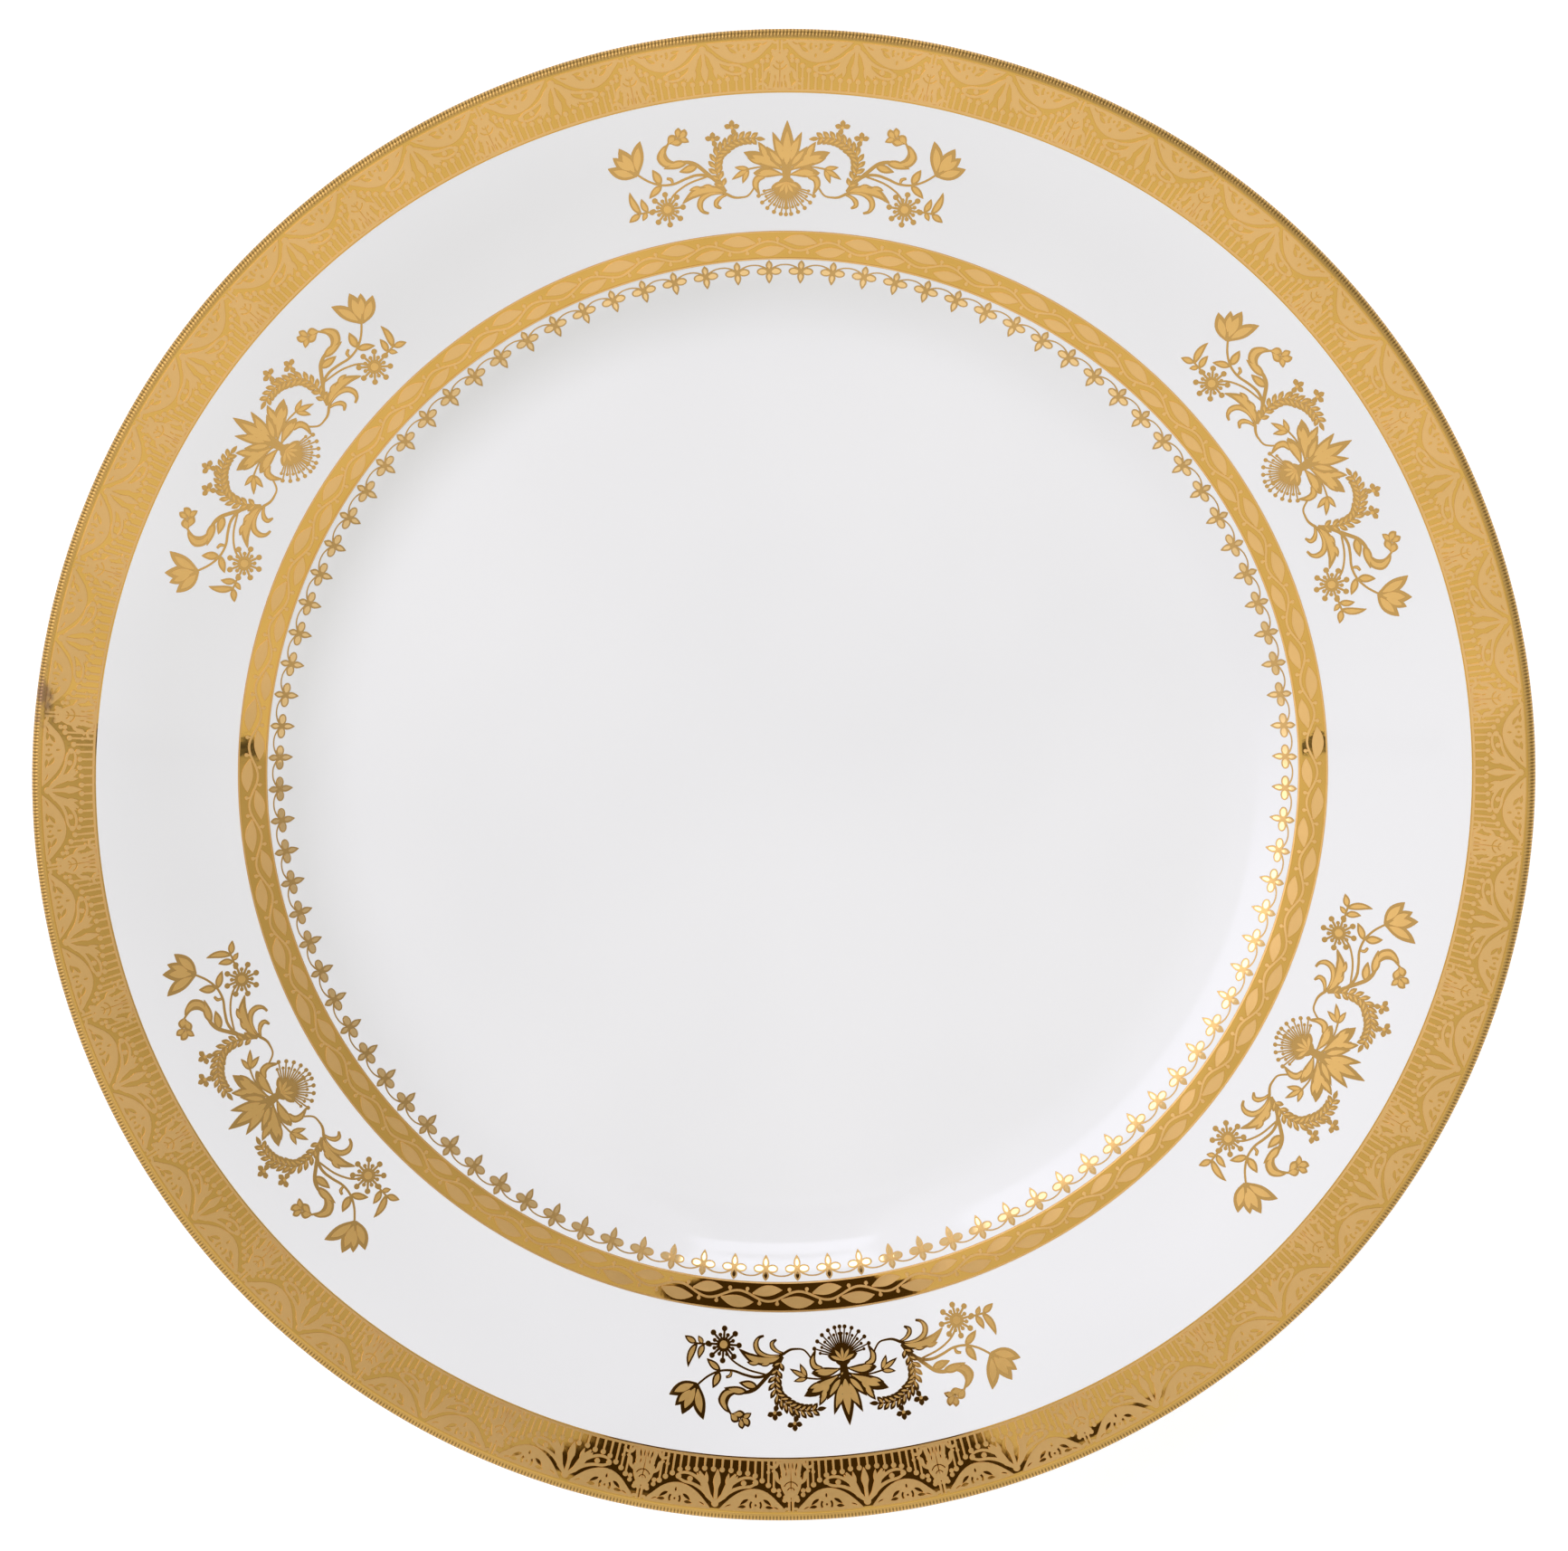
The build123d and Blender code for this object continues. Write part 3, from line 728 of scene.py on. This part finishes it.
def draw_fleuron():
    """Small four-petalled fleuron with the thread that links it to the next, and its petals; the outline
    takes painted shade and the petals a painted highlight.
    """
    step = math.radians(360 / FLEURON_COUNT) * FLEURON_RADIUS
    side = oval(1.2, 0.0, 1.0, 0.68) + stem([(0.2, 0.2), (0.9, 0.75), (1.9, 1.15), (step / 2, 1.25)],
                                            [0.3, 0.24, 0.18, 0.18])
    middle = blade(0, -0.1, 180, 2.2, 1.2, 0, 0.38) + blade(0, 0.15, 0, 1.9, 1.15, 0, 0.52) + disc(0, 0, 0.4)
    petals = mirrored(oval(1.22, -0.02, 0.76, 0.44))
    petals += blade(0, -0.5, 180, 1.4, 0.62, 0, 0.36) + blade(0, 0.5, 0, 1.2, 0.6, 0, 0.5)
    return union(mirrored(side) + middle), union(petals)


CURL_FILLING = (0.12, 0.86)  # shares of a curl between which it is filled
CURL_TIP = 0.05


class Plan:
    """Outlines in bright gold and the matte fillings laid on them."""

    def __init__(self):
        self.bright, self.matte = [], []

    def leaf(self, *shape):
        """Leaf with a matte middle."""
        outline, filling = inset_leaf(*shape)
        self.bright += outline
        self.matte += filling

    def line(self, points, widths, steps=5):
        """Tapered stem in bright gold."""
        self.bright += stem(points, widths, steps)

    def filled(self, points, widths, inner, steps=5):
        """Curl with a matte middle; inner is the middle's share of the width."""
        self.bright += stem(points, widths, steps)
        spine = smooth(points, steps)
        first, last = int(len(spine) * CURL_FILLING[0]), int(len(spine) * CURL_FILLING[1])
        shares = np.linspace(0, 1, len(widths))
        cut = np.linspace(first / len(spine), last / len(spine), 7)
        inside = np.interp(cut, shares, widths) * inner
        inside[0] = inside[-1] = CURL_TIP
        self.matte += band(spine[first:last], inside)

    def dot(self, x, y, radius):
        """Small round in bright gold."""
        self.bright += disc(x, y, radius, 10)

    def mirror(self):
        """Adds the mirror image of all that is drawn so far."""
        self.bright, self.matte = mirrored(self.bright), mirrored(self.matte)


def draw_stamens(plan, x, y, headings, reach, width, head):
    """Filaments with round heads about a point."""
    for heading in headings:
        end = walk(x, y, heading, reach, 0, 0, 1)[-1]
        plan.bright += band([(x, y), end], [width * 1.5, width])
        plan.dot(*end, head)


def draw_fern(plan):
    """Curved fern frond with small paired leaflets and two tiny blossoms."""
    spine = smooth([(10.8, -5.3), (12.0, -3.1), (12.65, -1.0), (12.45, 1.1), (11.2, 2.7), (9.6, 3.9),
                    (7.6, 4.5), (5.6, 4.45)], 6)
    plan.bright += band(spine, [0.42, 0.38, 0.3])
    for index in range(4, len(spine) - 1, 3):
        (x0, y0), (x1, y1) = spine[index - 1], spine[index + 1]
        heading = math.degrees(math.atan2(x1 - x0, y1 - y0))
        size = 1.1 + 0.35 * math.sin(math.pi * index / len(spine))
        for turn in (-44, 44):
            plan.bright += blade(x0, y0, heading + turn, size * 1.35, 0.86, 0, 0.55)
            plan.matte += blade(x0, y0, heading + turn, size * 0.9, 0.32, 0, 0.6)
    plan.bright += blade(*spine[-1], -95, 1.7, 0.75)
    for x, y, root in ((13.3, 4.2, (12.2, 2.2)), (9.9, 6.4, (9.7, 4.1))):
        plan.line([root, (x, y)], [0.2, 0.2], 2)
        for heading in (2, 74, 205, 288):
            plan.bright += blade(x, y, heading, 1.4, 0.92, 0, 0.6)
        plan.matte += disc(x, y, 0.3, 8)


def draw_spray():
    """Flower spray, drawn half and mirrored: palmette, fern, scrolled leaf, aster and tulip."""
    plan = Plan()
    plan.leaf(0.45, -0.3, 17, 6.3, 1.7, 6)
    plan.leaf(0.5, -0.8, 42, 4.9, 1.5, -4)
    plan.leaf(0.35, -1.5, 60, 8.1, 2.3, 10, 0.6)
    plan.leaf(2.7, 0.0, 36, 3.4, 1.3, 14)
    plan.leaf(3.4, 1.0, 28, 3.3, 1.3, 8)
    plan.leaf(0.5, 2.0, 34, 2.9, 1.3, -6)
    plan.leaf(2.6, -1.9, 104, 3.2, 1.2, -20)
    plan.leaf(3.9, 0.1, 84, 3.2, 1.2, -16)
    plan.leaf(0.3, -2.3, 74, 5.7, 1.8, 24, 0.6)
    plan.filled([(3.9, -2.6), (5.2, -3.0), (5.5, -4.2), (4.8, -5.8)], [0.5, 1.3, 1.1, 0.2], 0.5)
    plan.line([(3.2, -0.9), (4.8, -0.8), (6.9, -1.2)], [0.3, 0.25, 0.3])
    plan.leaf(6.7, -1.2, 118, 3.6, 1.0, 8)
    plan.leaf(6.8, -1.3, 152, 2.7, 1.0, 12)
    plan.leaf(6.8, -1.1, 88, 2.5, 0.9, -8)
    plan.line([(10.7, -5.75), (9.4, -6.35), (8.2, -6.4), (6.9, -6.1), (6.0, -5.0), (5.6, -4.0)],
              [0.5, 0.28, 0.28])
    draw_stamens(plan, 0.0, -4.2, [180 - k for k in (10, 24, 39, 54, 69)], 5.3, 0.22, 0.36)
    draw_stamens(plan, 0.0, -4.2, [180 - k for k in (3, 17, 31, 46, 61, 76)], 4.1, 0.22, 0.27)
    draw_fern(plan)

    plan.filled([(10.6, -5.7), (12.2, -5.55), (13.8, -5.8), (15.1, -6.7), (15.4, -8.0), (14.8, -9.0),
                 (13.8, -9.3)], [0.3, 0.5, 0.8, 1.05, 1.0, 0.6, 0.35], 0.5)
    plan.filled([(10.6, -5.9), (11.6, -6.3), (12.4, -7.1), (12.45, -7.9), (11.6, -8.4)],
                [0.3, 0.6, 0.9, 0.8, 0.3], 0.45)
    plan.filled([(10.8, -5.5), (12.6, -5.0), (14.6, -5.1), (16.6, -5.8), (18.5, -7.5)],
                [0.5, 1.4, 1.8, 1.5, 0.1], 0.55)
    plan.leaf(13.0, -4.8, 60, 2.2, 1.0, 40)
    plan.leaf(15.0, -4.9, 75, 2.4, 1.0, 40)

    plan.line([(10.9, -5.3), (12.6, -3.3), (14.2, -2.4), (16.1, -2.3), (18.1, -3.0), (20.1, -3.9),
               (22.4, -4.1), (24.7, -3.4), (26.8, -2.1)], [0.7, 0.5, 0.42, 0.36, 0.32])
    plan.line([(14.3, -2.6), (17.2, -3.7), (19.3, -5.1), (20.5, -6.5), (21.1, -8.3)], [0.3, 0.3, 0.3])
    plan.line([(12.4, -3.5), (14.4, -1.8), (16.3, -0.3), (18.0, 0.1), (19.8, -0.15), (21.2, 0.5), (21.8, 1.9),
               (21.2, 3.6)], [0.6, 0.65, 0.6, 0.5, 0.32])
    plan.leaf(15.9, -0.5, 115, 3.5, 1.5, -10)
    plan.leaf(17.8, 0.0, 98, 4.3, 1.5, 14)
    plan.filled([(19.4, -0.1), (21.4, -0.2), (22.4, 0.9), (22.1, 2.3), (21.5, 3.2)],
                [0.3, 1.5, 1.7, 1.0, 0.2], 0.5)
    plan.leaf(21.3, 3.3, -30, 2.2, 1.6, -20, 0.6)
    plan.leaf(21.0, 3.5, -75, 2.4, 1.4, -15, 0.6)
    plan.leaf(19.6, 4.4, -5, 2.0, 1.2, 0, 0.6)
    plan.leaf(19.5, 4.3, -62, 2.3, 1.4, 60, 0.6)
    plan.leaf(19.2, 4.4, -100, 1.8, 1.1, -20)

    plan.leaf(22.3, -4.2, 132, 3.2, 1.3, 10)
    plan.leaf(22.5, -4.0, 24, 3.1, 1.5, 10)
    plan.filled([(20.3, -3.9), (20.6, -3.1), (21.4, -2.9)], [0.3, 0.6, 0.4], 0.3)
    plan.leaf(26.6, -2.3, 8, 6.3, 2.3, -22, 0.5)
    plan.leaf(26.7, -2.3, 38, 5.9, 2.6, -8, 0.5)
    plan.leaf(26.7, -2.4, 84, 5.4, 2.3, -16, 0.5)
    plan.leaf(27.6, -1.8, 52, 4.4, 1.9, 0, 0.5)

    draw_stamens(plan, 21.2, -8.6, [10 + 45 * k for k in range(8)], 2.8, 0.32, 0.5)
    draw_stamens(plan, 21.2, -8.6, [32 + 45 * k for k in range(8)], 1.8, 0.3, 0.34)
    plan.bright += disc(21.2, -8.6, 1.25)
    plan.matte += disc(21.2, -8.6, 0.7)
    plan.line([(23.4, -8.9), (24.6, -9.1), (26.3, -9.4)], [0.36, 0.3, 0.3])
    plan.dot(23.7, -8.9, 0.42)
    plan.leaf(26.1, -9.5, 122, 2.4, 1.2, 10)
    plan.leaf(25.9, -9.4, 48, 4.6, 1.3, -40)
    plan.leaf(24.7, -9.0, 42, 2.7, 1.2, -30)
    plan.leaf(24.9, -9.2, 150, 1.6, 0.9, 10)
    plan.mirror()

    plan.leaf(0, -1.6, 0, 9.3, 2.6, 0, 0.42)
    draw_stamens(plan, 0.0, -4.2, [180], 5.3, 0.22, 0.36)
    plan.bright += disc(0, -4.1, 1.5, 20) + band([(0, -5.0), (0, -2.6), (0, 0.2)], [2.4, 1.3, 2.0])
    for heading in (-64, -32, 0, 32, 64):
        plan.bright += blade(0, -3.3, 180 + heading, 3.0, 1.0, 0, 0.6)
        plan.matte += blade(0, -3.5, 180 + heading, 2.3, 0.5, 0, 0.6)
    return union(plan.bright), union(plan.matte)


# ------------------------------------------------------------------ relief laid on the plate
RIM_LINE = (123.7, 124.2)
VERGE_LINES = {"verge_inner_line": (92.95, 93.22), "verge_outer_line": (97.88, 98.15)}
# Where two motifs cross, one stands a little higher, so that their tops don't share a plane.
FAN_PROUD, TASSEL_PROUD = 0.004, 0.002
OUTLINE_LIFTS, PETAL_LIFTS, FILLING_LIFTS = (-0.02, 0.05), (0.03, 0.09), (0.03, 0.08)


def places_round(count, start, radius):
    """Evenly spaced places on a circle, as (angle, radius)."""
    return [(start + 360 / count * k, radius) for k in range(count)]


def build_rim_relief():
    """Matte ornament of the outer band."""
    fans = places_round(FAN_COUNT, FAN_START, FAN_RADIUS)
    tassels = [(angle + 180 / FAN_COUNT, radius) for angle, radius in fans]
    for name, plan, places, proud, *nodes in (
            ("rim_swags", draw_rim_swag(), fans, 0, "rim_relief_swags"),
            ("rim_fans", draw_rim_fan(), fans, FAN_PROUD, "rim_relief_fans"),
            ("rim_pins", draw_rim_pins(), fans, 0),
            ("rim_tassels", draw_rim_tassel(), tassels, TASSEL_PROUD, "rim_relief_tassels")):
        piece = relief(name, plan, places, RELIEF_ROOT, RELIEF_HIGH + proud, MATTE_GOLD)
        finish_piece(piece, "matte_gold", *nodes)
    line = coat("rim_inner_line", RELIEF_ROOT, RELIEF_HIGH, *RIM_LINE, GOLD_SEGMENTS, MATTE_GOLD, 0.05)
    finish_piece(line, "matte_gold", "rim_relief_borders")


def build_inner_relief():
    """Matte garland and lines of the narrow band."""
    places = places_round(LEAF_COUNT, LEAF_START, LEAF_RADIUS)
    garland = relief("verge_garland", draw_garland(), places, RELIEF_ROOT, RELIEF_HIGH, MATTE_GOLD)
    finish_piece(garland, "matte_gold", "inner_relief_leaves")
    for name, edges in VERGE_LINES.items():
        line = coat(name, RELIEF_ROOT, RELIEF_HIGH, *edges, GOLD_SEGMENTS, MATTE_GOLD, 0.03)
        finish_piece(line, "matte_gold", "inner_relief_borders")


def build_fleurons():
    """Chain of small fleurons in a darker gold as painted shade, each with petals on it in a paler gold as a
    painted highlight.
    """
    places = places_round(FLEURON_COUNT, FLEURON_START, FLEURON_RADIUS)
    outlines, petals = draw_fleuron()
    chain = relief("fleurons", outlines, places, *OUTLINE_LIFTS, SHADED_LINE_GOLD)
    finish_piece(chain, "bright_gold", "fleuron_chain")
    # The petals carry the painted highlight.
    bright = relief("fleuron_petals", petals, places, *PETAL_LIFTS, HIGHLIGHT_PETAL_GOLD)
    finish_piece(bright, "bright_gold")


def build_sprays():
    """Six flower sprays: bright outlines, darkened as painted shade at the relief's edges, with satin
    fillings on them, each laid flat as one transfer.
    """
    outlines, fillings = draw_spray()
    for index, angle in enumerate(SPRAY_ANGLES):
        place = [(angle, SPRAY_RADIUS)]
        # The outlines carry the painted shade.
        base = relief(f"spray_{index + 1}", outlines, place, *OUTLINE_LIFTS, SHADED_EDGE_GOLD, 0.045, flat=True)
        finish_piece(base, "bright_gold", f"floral_spray_{index + 1}")
        fill = relief(f"spray_filling_{index + 1}", fillings, place, *FILLING_LIFTS, SATIN_GOLD, 0.03,
                      flat=True)
        finish_piece(fill, "matte_gold")


# ------------------------------------------------------------------ stage, light and camera
FLOOR_SIZE = 12.0
WHITE, BLACK = (1, 1, 1, 1), (0, 0, 0, 1)
BACKDROP_RADIUS, BACKDROP_HEIGHT = 5.7, 8.0


def floor_paint(tree):
    """Near white, with a faint drift."""
    return {"Base_Color": tree.mix(tree.noise(3.0, 2.0), (0.93, 0.93, 0.93), (0.95, 0.95, 0.95))}


def backdrop_paint(tree):
    """Pale tone that shows whatever the light."""
    return {"Emission_Color": tree.mix(tree.noise(0.5, 1.0), (0.86, 0.86, 0.86), (0.88, 0.88, 0.88))}


def build_stage():
    """Pale floor, and a pale backdrop behind it."""
    bpy.ops.mesh.primitive_plane_add(size=FLOOR_SIZE, location=(0, 0, 0))
    floor = bpy.context.object
    floor.name = "floor"
    floor.data.materials.append(painted("floor_paint", floor_paint, Roughness=0.9, Specular_IOR_Level=0.1,
                                        Emission_Color=WHITE, Emission_Strength=0.30))
    bpy.ops.mesh.primitive_cylinder_add(vertices=96, radius=BACKDROP_RADIUS, depth=BACKDROP_HEIGHT,
                                        end_fill_type="NOTHING", location=(0, 0, BACKDROP_HEIGHT / 2))
    backdrop = bpy.context.object
    backdrop.name = "backdrop"
    backdrop.data.shade_smooth()
    backdrop.data.materials.append(painted("backdrop_paint", backdrop_paint, Base_Color=BLACK, Roughness=1.0,
                                           Specular_IOR_Level=0.0, Emission_Strength=1.0))
    # Only the camera sees the backdrop; the tent lights the plate through it.
    backdrop.visible_diffuse = backdrop.visible_glossy = backdrop.visible_transmission = False
    backdrop.visible_shadow = backdrop.visible_volume_scatter = False


# The tent is painted by direction: x to the right and y to the far side, each from -1 to 1, and spread,
# the distance from straight up. Two numbers are where a smooth step begins and ends, three are a window's
# two edges and how soft they are, and four are a step's ends and then its two levels.
TENT_STRENGTH = 0.84
FAR_TONE = (1.0, 0.995, 0.97)
DARK_TONE = (1.25, 0.80, 0.25)
FAR_SIDE = (-0.166, -0.152)
# The far side is dimmer than the near one, and more so to the right.
SHADE_MAIN, SHADE_RIGHT = (-0.06, 0.20, 0.16, 0.31), (0.25, 0.40, 0, 0.05)
# Lower down it is brighter again, but not at the right, and most of all at the left.
LIFT_SPREAD, LIFT_LEFT, LIFT = (0.30, 0.44), (0.42, 0.27), 0.09
OUTER_LIFT_SPREAD, OUTER_LIFT_LEFT, OUTER_LIFT = (0.46, 0.58), (-0.12, -0.28), 0.07
# Near the horizon it glows, but not at the right.
GLOW_SPREAD, GLOW_LEFT, SIDE_GLOW = (0.79, 0.84), (0.45, 0.30), 0.25
# The dark gap that the near side of the bands shows: two blocks and a short tongue.
NEAR_BLOCK_EDGES = ((-0.14, (-0.047, -0.037)), (0.04, (0.138, 0.128)))  # slope and step of each side
NEAR_BLOCK_DEEP = (0.125, 0.42, 0.006)
FAR_BLOCK_WIDE, FAR_BLOCK_DEEP = (-0.088, 0.145, 0.005), (0.40, 0.668, 0.006)
TONGUE_WIDE, TONGUE_DEEP = (-0.115, -0.04, 0.004), (0.112, 0.140, 0.004)
STRIP_DARKNESS = 0.94
# The thin dark seam at either side: where it runs, and how strong each stretch of it is.
SEAM = (-0.166, -0.150, 0.002)
SEAM_SIDES = (((0.42, 0.60, 0.01), 1), ((-0.60, -0.42, 0.01), 1), ((0.26, 0.42, 0.01), 0.35))
SEAM_DARKNESS = 0.85
# It ends dark at the horizon, darkest on the far side.
LOW_RING, LOW_RING_DARKNESS = (0.93, 0.985), (-0.5, 0.9, 0.40, 0.95)
# The two lamps that make the fleurons bright, one beyond the plate and a long one at the left.
LAMP_TONE = (1.0, 1.0, 1.25)
LAMP_WIDE, LAMP_DEEP, LAMP_GLOW = (-0.13, 0.20, 0.01), (0.685, 0.80, 0.01), 3.2
WINDOW_START, WINDOW_END = (0.665, 0.75), (0.90, 0.85)
WINDOW_LEFT, WINDOW_BEYOND, WINDOW_GLOW = (-0.27, -0.33), (-0.32, 0.10), 2.3
PANEL_TURN = 28  # degrees clockwise from the far side
PANEL_RISE = 24
PANEL_DISTANCE = 2.5
PANEL_SIZE = 1.6
PANEL_POWER = 14.5


def tent_level(tent, x, y, spread):
    """How bright the tent's cloth is, and where its dark gap lies."""
    def brighter(spreads, sides, amount):
        """Light added far from straight up, on one side."""
        return tent.times(tent.step(spread, *spreads), tent.step(x, *sides), amount)

    far_side = tent.step(y, *FAR_SIDE)
    shade = tent.plus(tent.step(x, *SHADE_MAIN), tent.step(x, *SHADE_RIGHT))
    lift = tent.times(far_side, tent.plus(brighter(LIFT_SPREAD, LIFT_LEFT, LIFT),
                                          brighter(OUTER_LIFT_SPREAD, OUTER_LIFT_LEFT, OUTER_LIFT)))
    level = tent.plus(tent.less(tent.times(far_side, shade)), lift,
                      brighter(GLOW_SPREAD, GLOW_LEFT, SIDE_GLOW))

    edges = [tent.step(tent.maths("SUBTRACT", x, tent.times(y, slope)), *edge)
             for slope, edge in NEAR_BLOCK_EDGES]
    near_block = tent.times(*edges, tent.window(y, *NEAR_BLOCK_DEEP))
    far_block = tent.times(tent.window(x, *FAR_BLOCK_WIDE), tent.window(y, *FAR_BLOCK_DEEP))
    tongue = tent.times(tent.window(x, *TONGUE_WIDE), tent.window(y, *TONGUE_DEEP))
    strip = tent.maths("MAXIMUM", near_block, far_block, tongue)

    sides = [tent.times(tent.window(x, *side), share) for side, share in SEAM_SIDES]
    seam = tent.times(tent.window(y, *SEAM), tent.maths("MAXIMUM", *sides))
    low_ring = tent.times(tent.step(spread, *LOW_RING), tent.step(y, *LOW_RING_DARKNESS))
    level = tent.times(level, tent.less(strip, STRIP_DARKNESS), tent.less(seam, SEAM_DARKNESS),
                       tent.less(low_ring))
    return level, strip


def lamp_level(tent, x, y, spread):
    """How bright the two lamps are."""
    lamp = tent.times(tent.window(x, *LAMP_WIDE), tent.window(y, *LAMP_DEEP), LAMP_GLOW)
    long_window = tent.times(tent.step(spread, *WINDOW_START), tent.step(spread, *WINDOW_END),
                             tent.step(x, *WINDOW_LEFT), tent.step(y, *WINDOW_BEYOND), WINDOW_GLOW)
    return tent.plus(lamp, long_window)


def build_tent():
    """Soft white tent: a bright side, a dimmer side, dark gaps where the camera looks in, and lamps."""
    world = bpy.data.worlds.new("tent")
    bpy.context.scene.world = world
    tent = Tree(world)
    x, y, spread = tent.sideways("Generated")
    level, strip = tent_level(tent, x, y, spread)
    cloth = tent.scaled(tent.mix(strip, FAR_TONE, DARK_TONE), level)
    lamps = tent.scaled(LAMP_TONE, lamp_level(tent, x, y, spread))
    colour = tent.vector_maths("ADD", cloth, lamps).outputs[0]
    tent.feed(tent.nodes["Background"], Color=colour, Strength=TENT_STRENGTH)


def build_panel():
    """Soft lamp that shades the white and doesn't show in the gold."""
    panel_data = bpy.data.lights.new("panel", "AREA")
    panel_data.shape = "DISK"
    panel_data.size = PANEL_SIZE
    panel_data.energy = PANEL_POWER
    panel = bpy.data.objects.new("panel", panel_data)
    bpy.context.scene.collection.objects.link(panel)
    turn, rise = math.radians(PANEL_TURN), math.radians(PANEL_RISE)
    towards = Vector((math.sin(turn) * math.cos(rise), math.cos(turn) * math.cos(rise), math.sin(rise)))
    panel.location = towards * PANEL_DISTANCE
    panel.rotation_euler = towards.to_track_quat("Z", "Y").to_euler()
    panel.visible_glossy = False


CAMERA_DISTANCE = 2.2
CAMERA_TILT = 7.77  # degrees off the plate's axis
CAMERA_SIDE = -14.7  # degrees clockwise from the far side, in which it leans
AIM_HEIGHT = 0.015
SENSOR_WIDTH = 36.0
FOCAL_PER_WIDTH = 7.797  # focal length over sensor width


def build_camera():
    """Camera nearly above the plate, with the far side at the top of the picture."""
    tilt, side = math.radians(CAMERA_TILT), math.radians(CAMERA_SIDE)
    towards = Vector((math.sin(tilt) * math.sin(side), math.sin(tilt) * math.cos(side), math.cos(tilt)))
    right = Vector((0, 1, 0)).cross(towards).normalized()
    up = towards.cross(right)
    camera_data = bpy.data.cameras.new("camera")
    camera_data.sensor_width = SENSOR_WIDTH
    camera_data.lens = SENSOR_WIDTH * FOCAL_PER_WIDTH
    camera_data.clip_end = 50.0
    camera = bpy.data.objects.new("camera", camera_data)
    bpy.context.scene.collection.objects.link(camera)
    rotation = [[right[i], up[i], towards[i]] for i in range(3)]
    place = Vector((0, 0, AIM_HEIGHT)) + towards * CAMERA_DISTANCE
    camera.matrix_world = Matrix.Translation(place) @ Matrix(rotation).to_4x4()
    bpy.context.scene.camera = camera


bpy.context.scene.view_settings.view_transform = "Standard"
build_china()
build_films()
build_lip()
build_rim_relief()
build_inner_relief()
build_fleurons()
build_sprays()
build_stage()
build_tent()
build_panel()
build_camera()
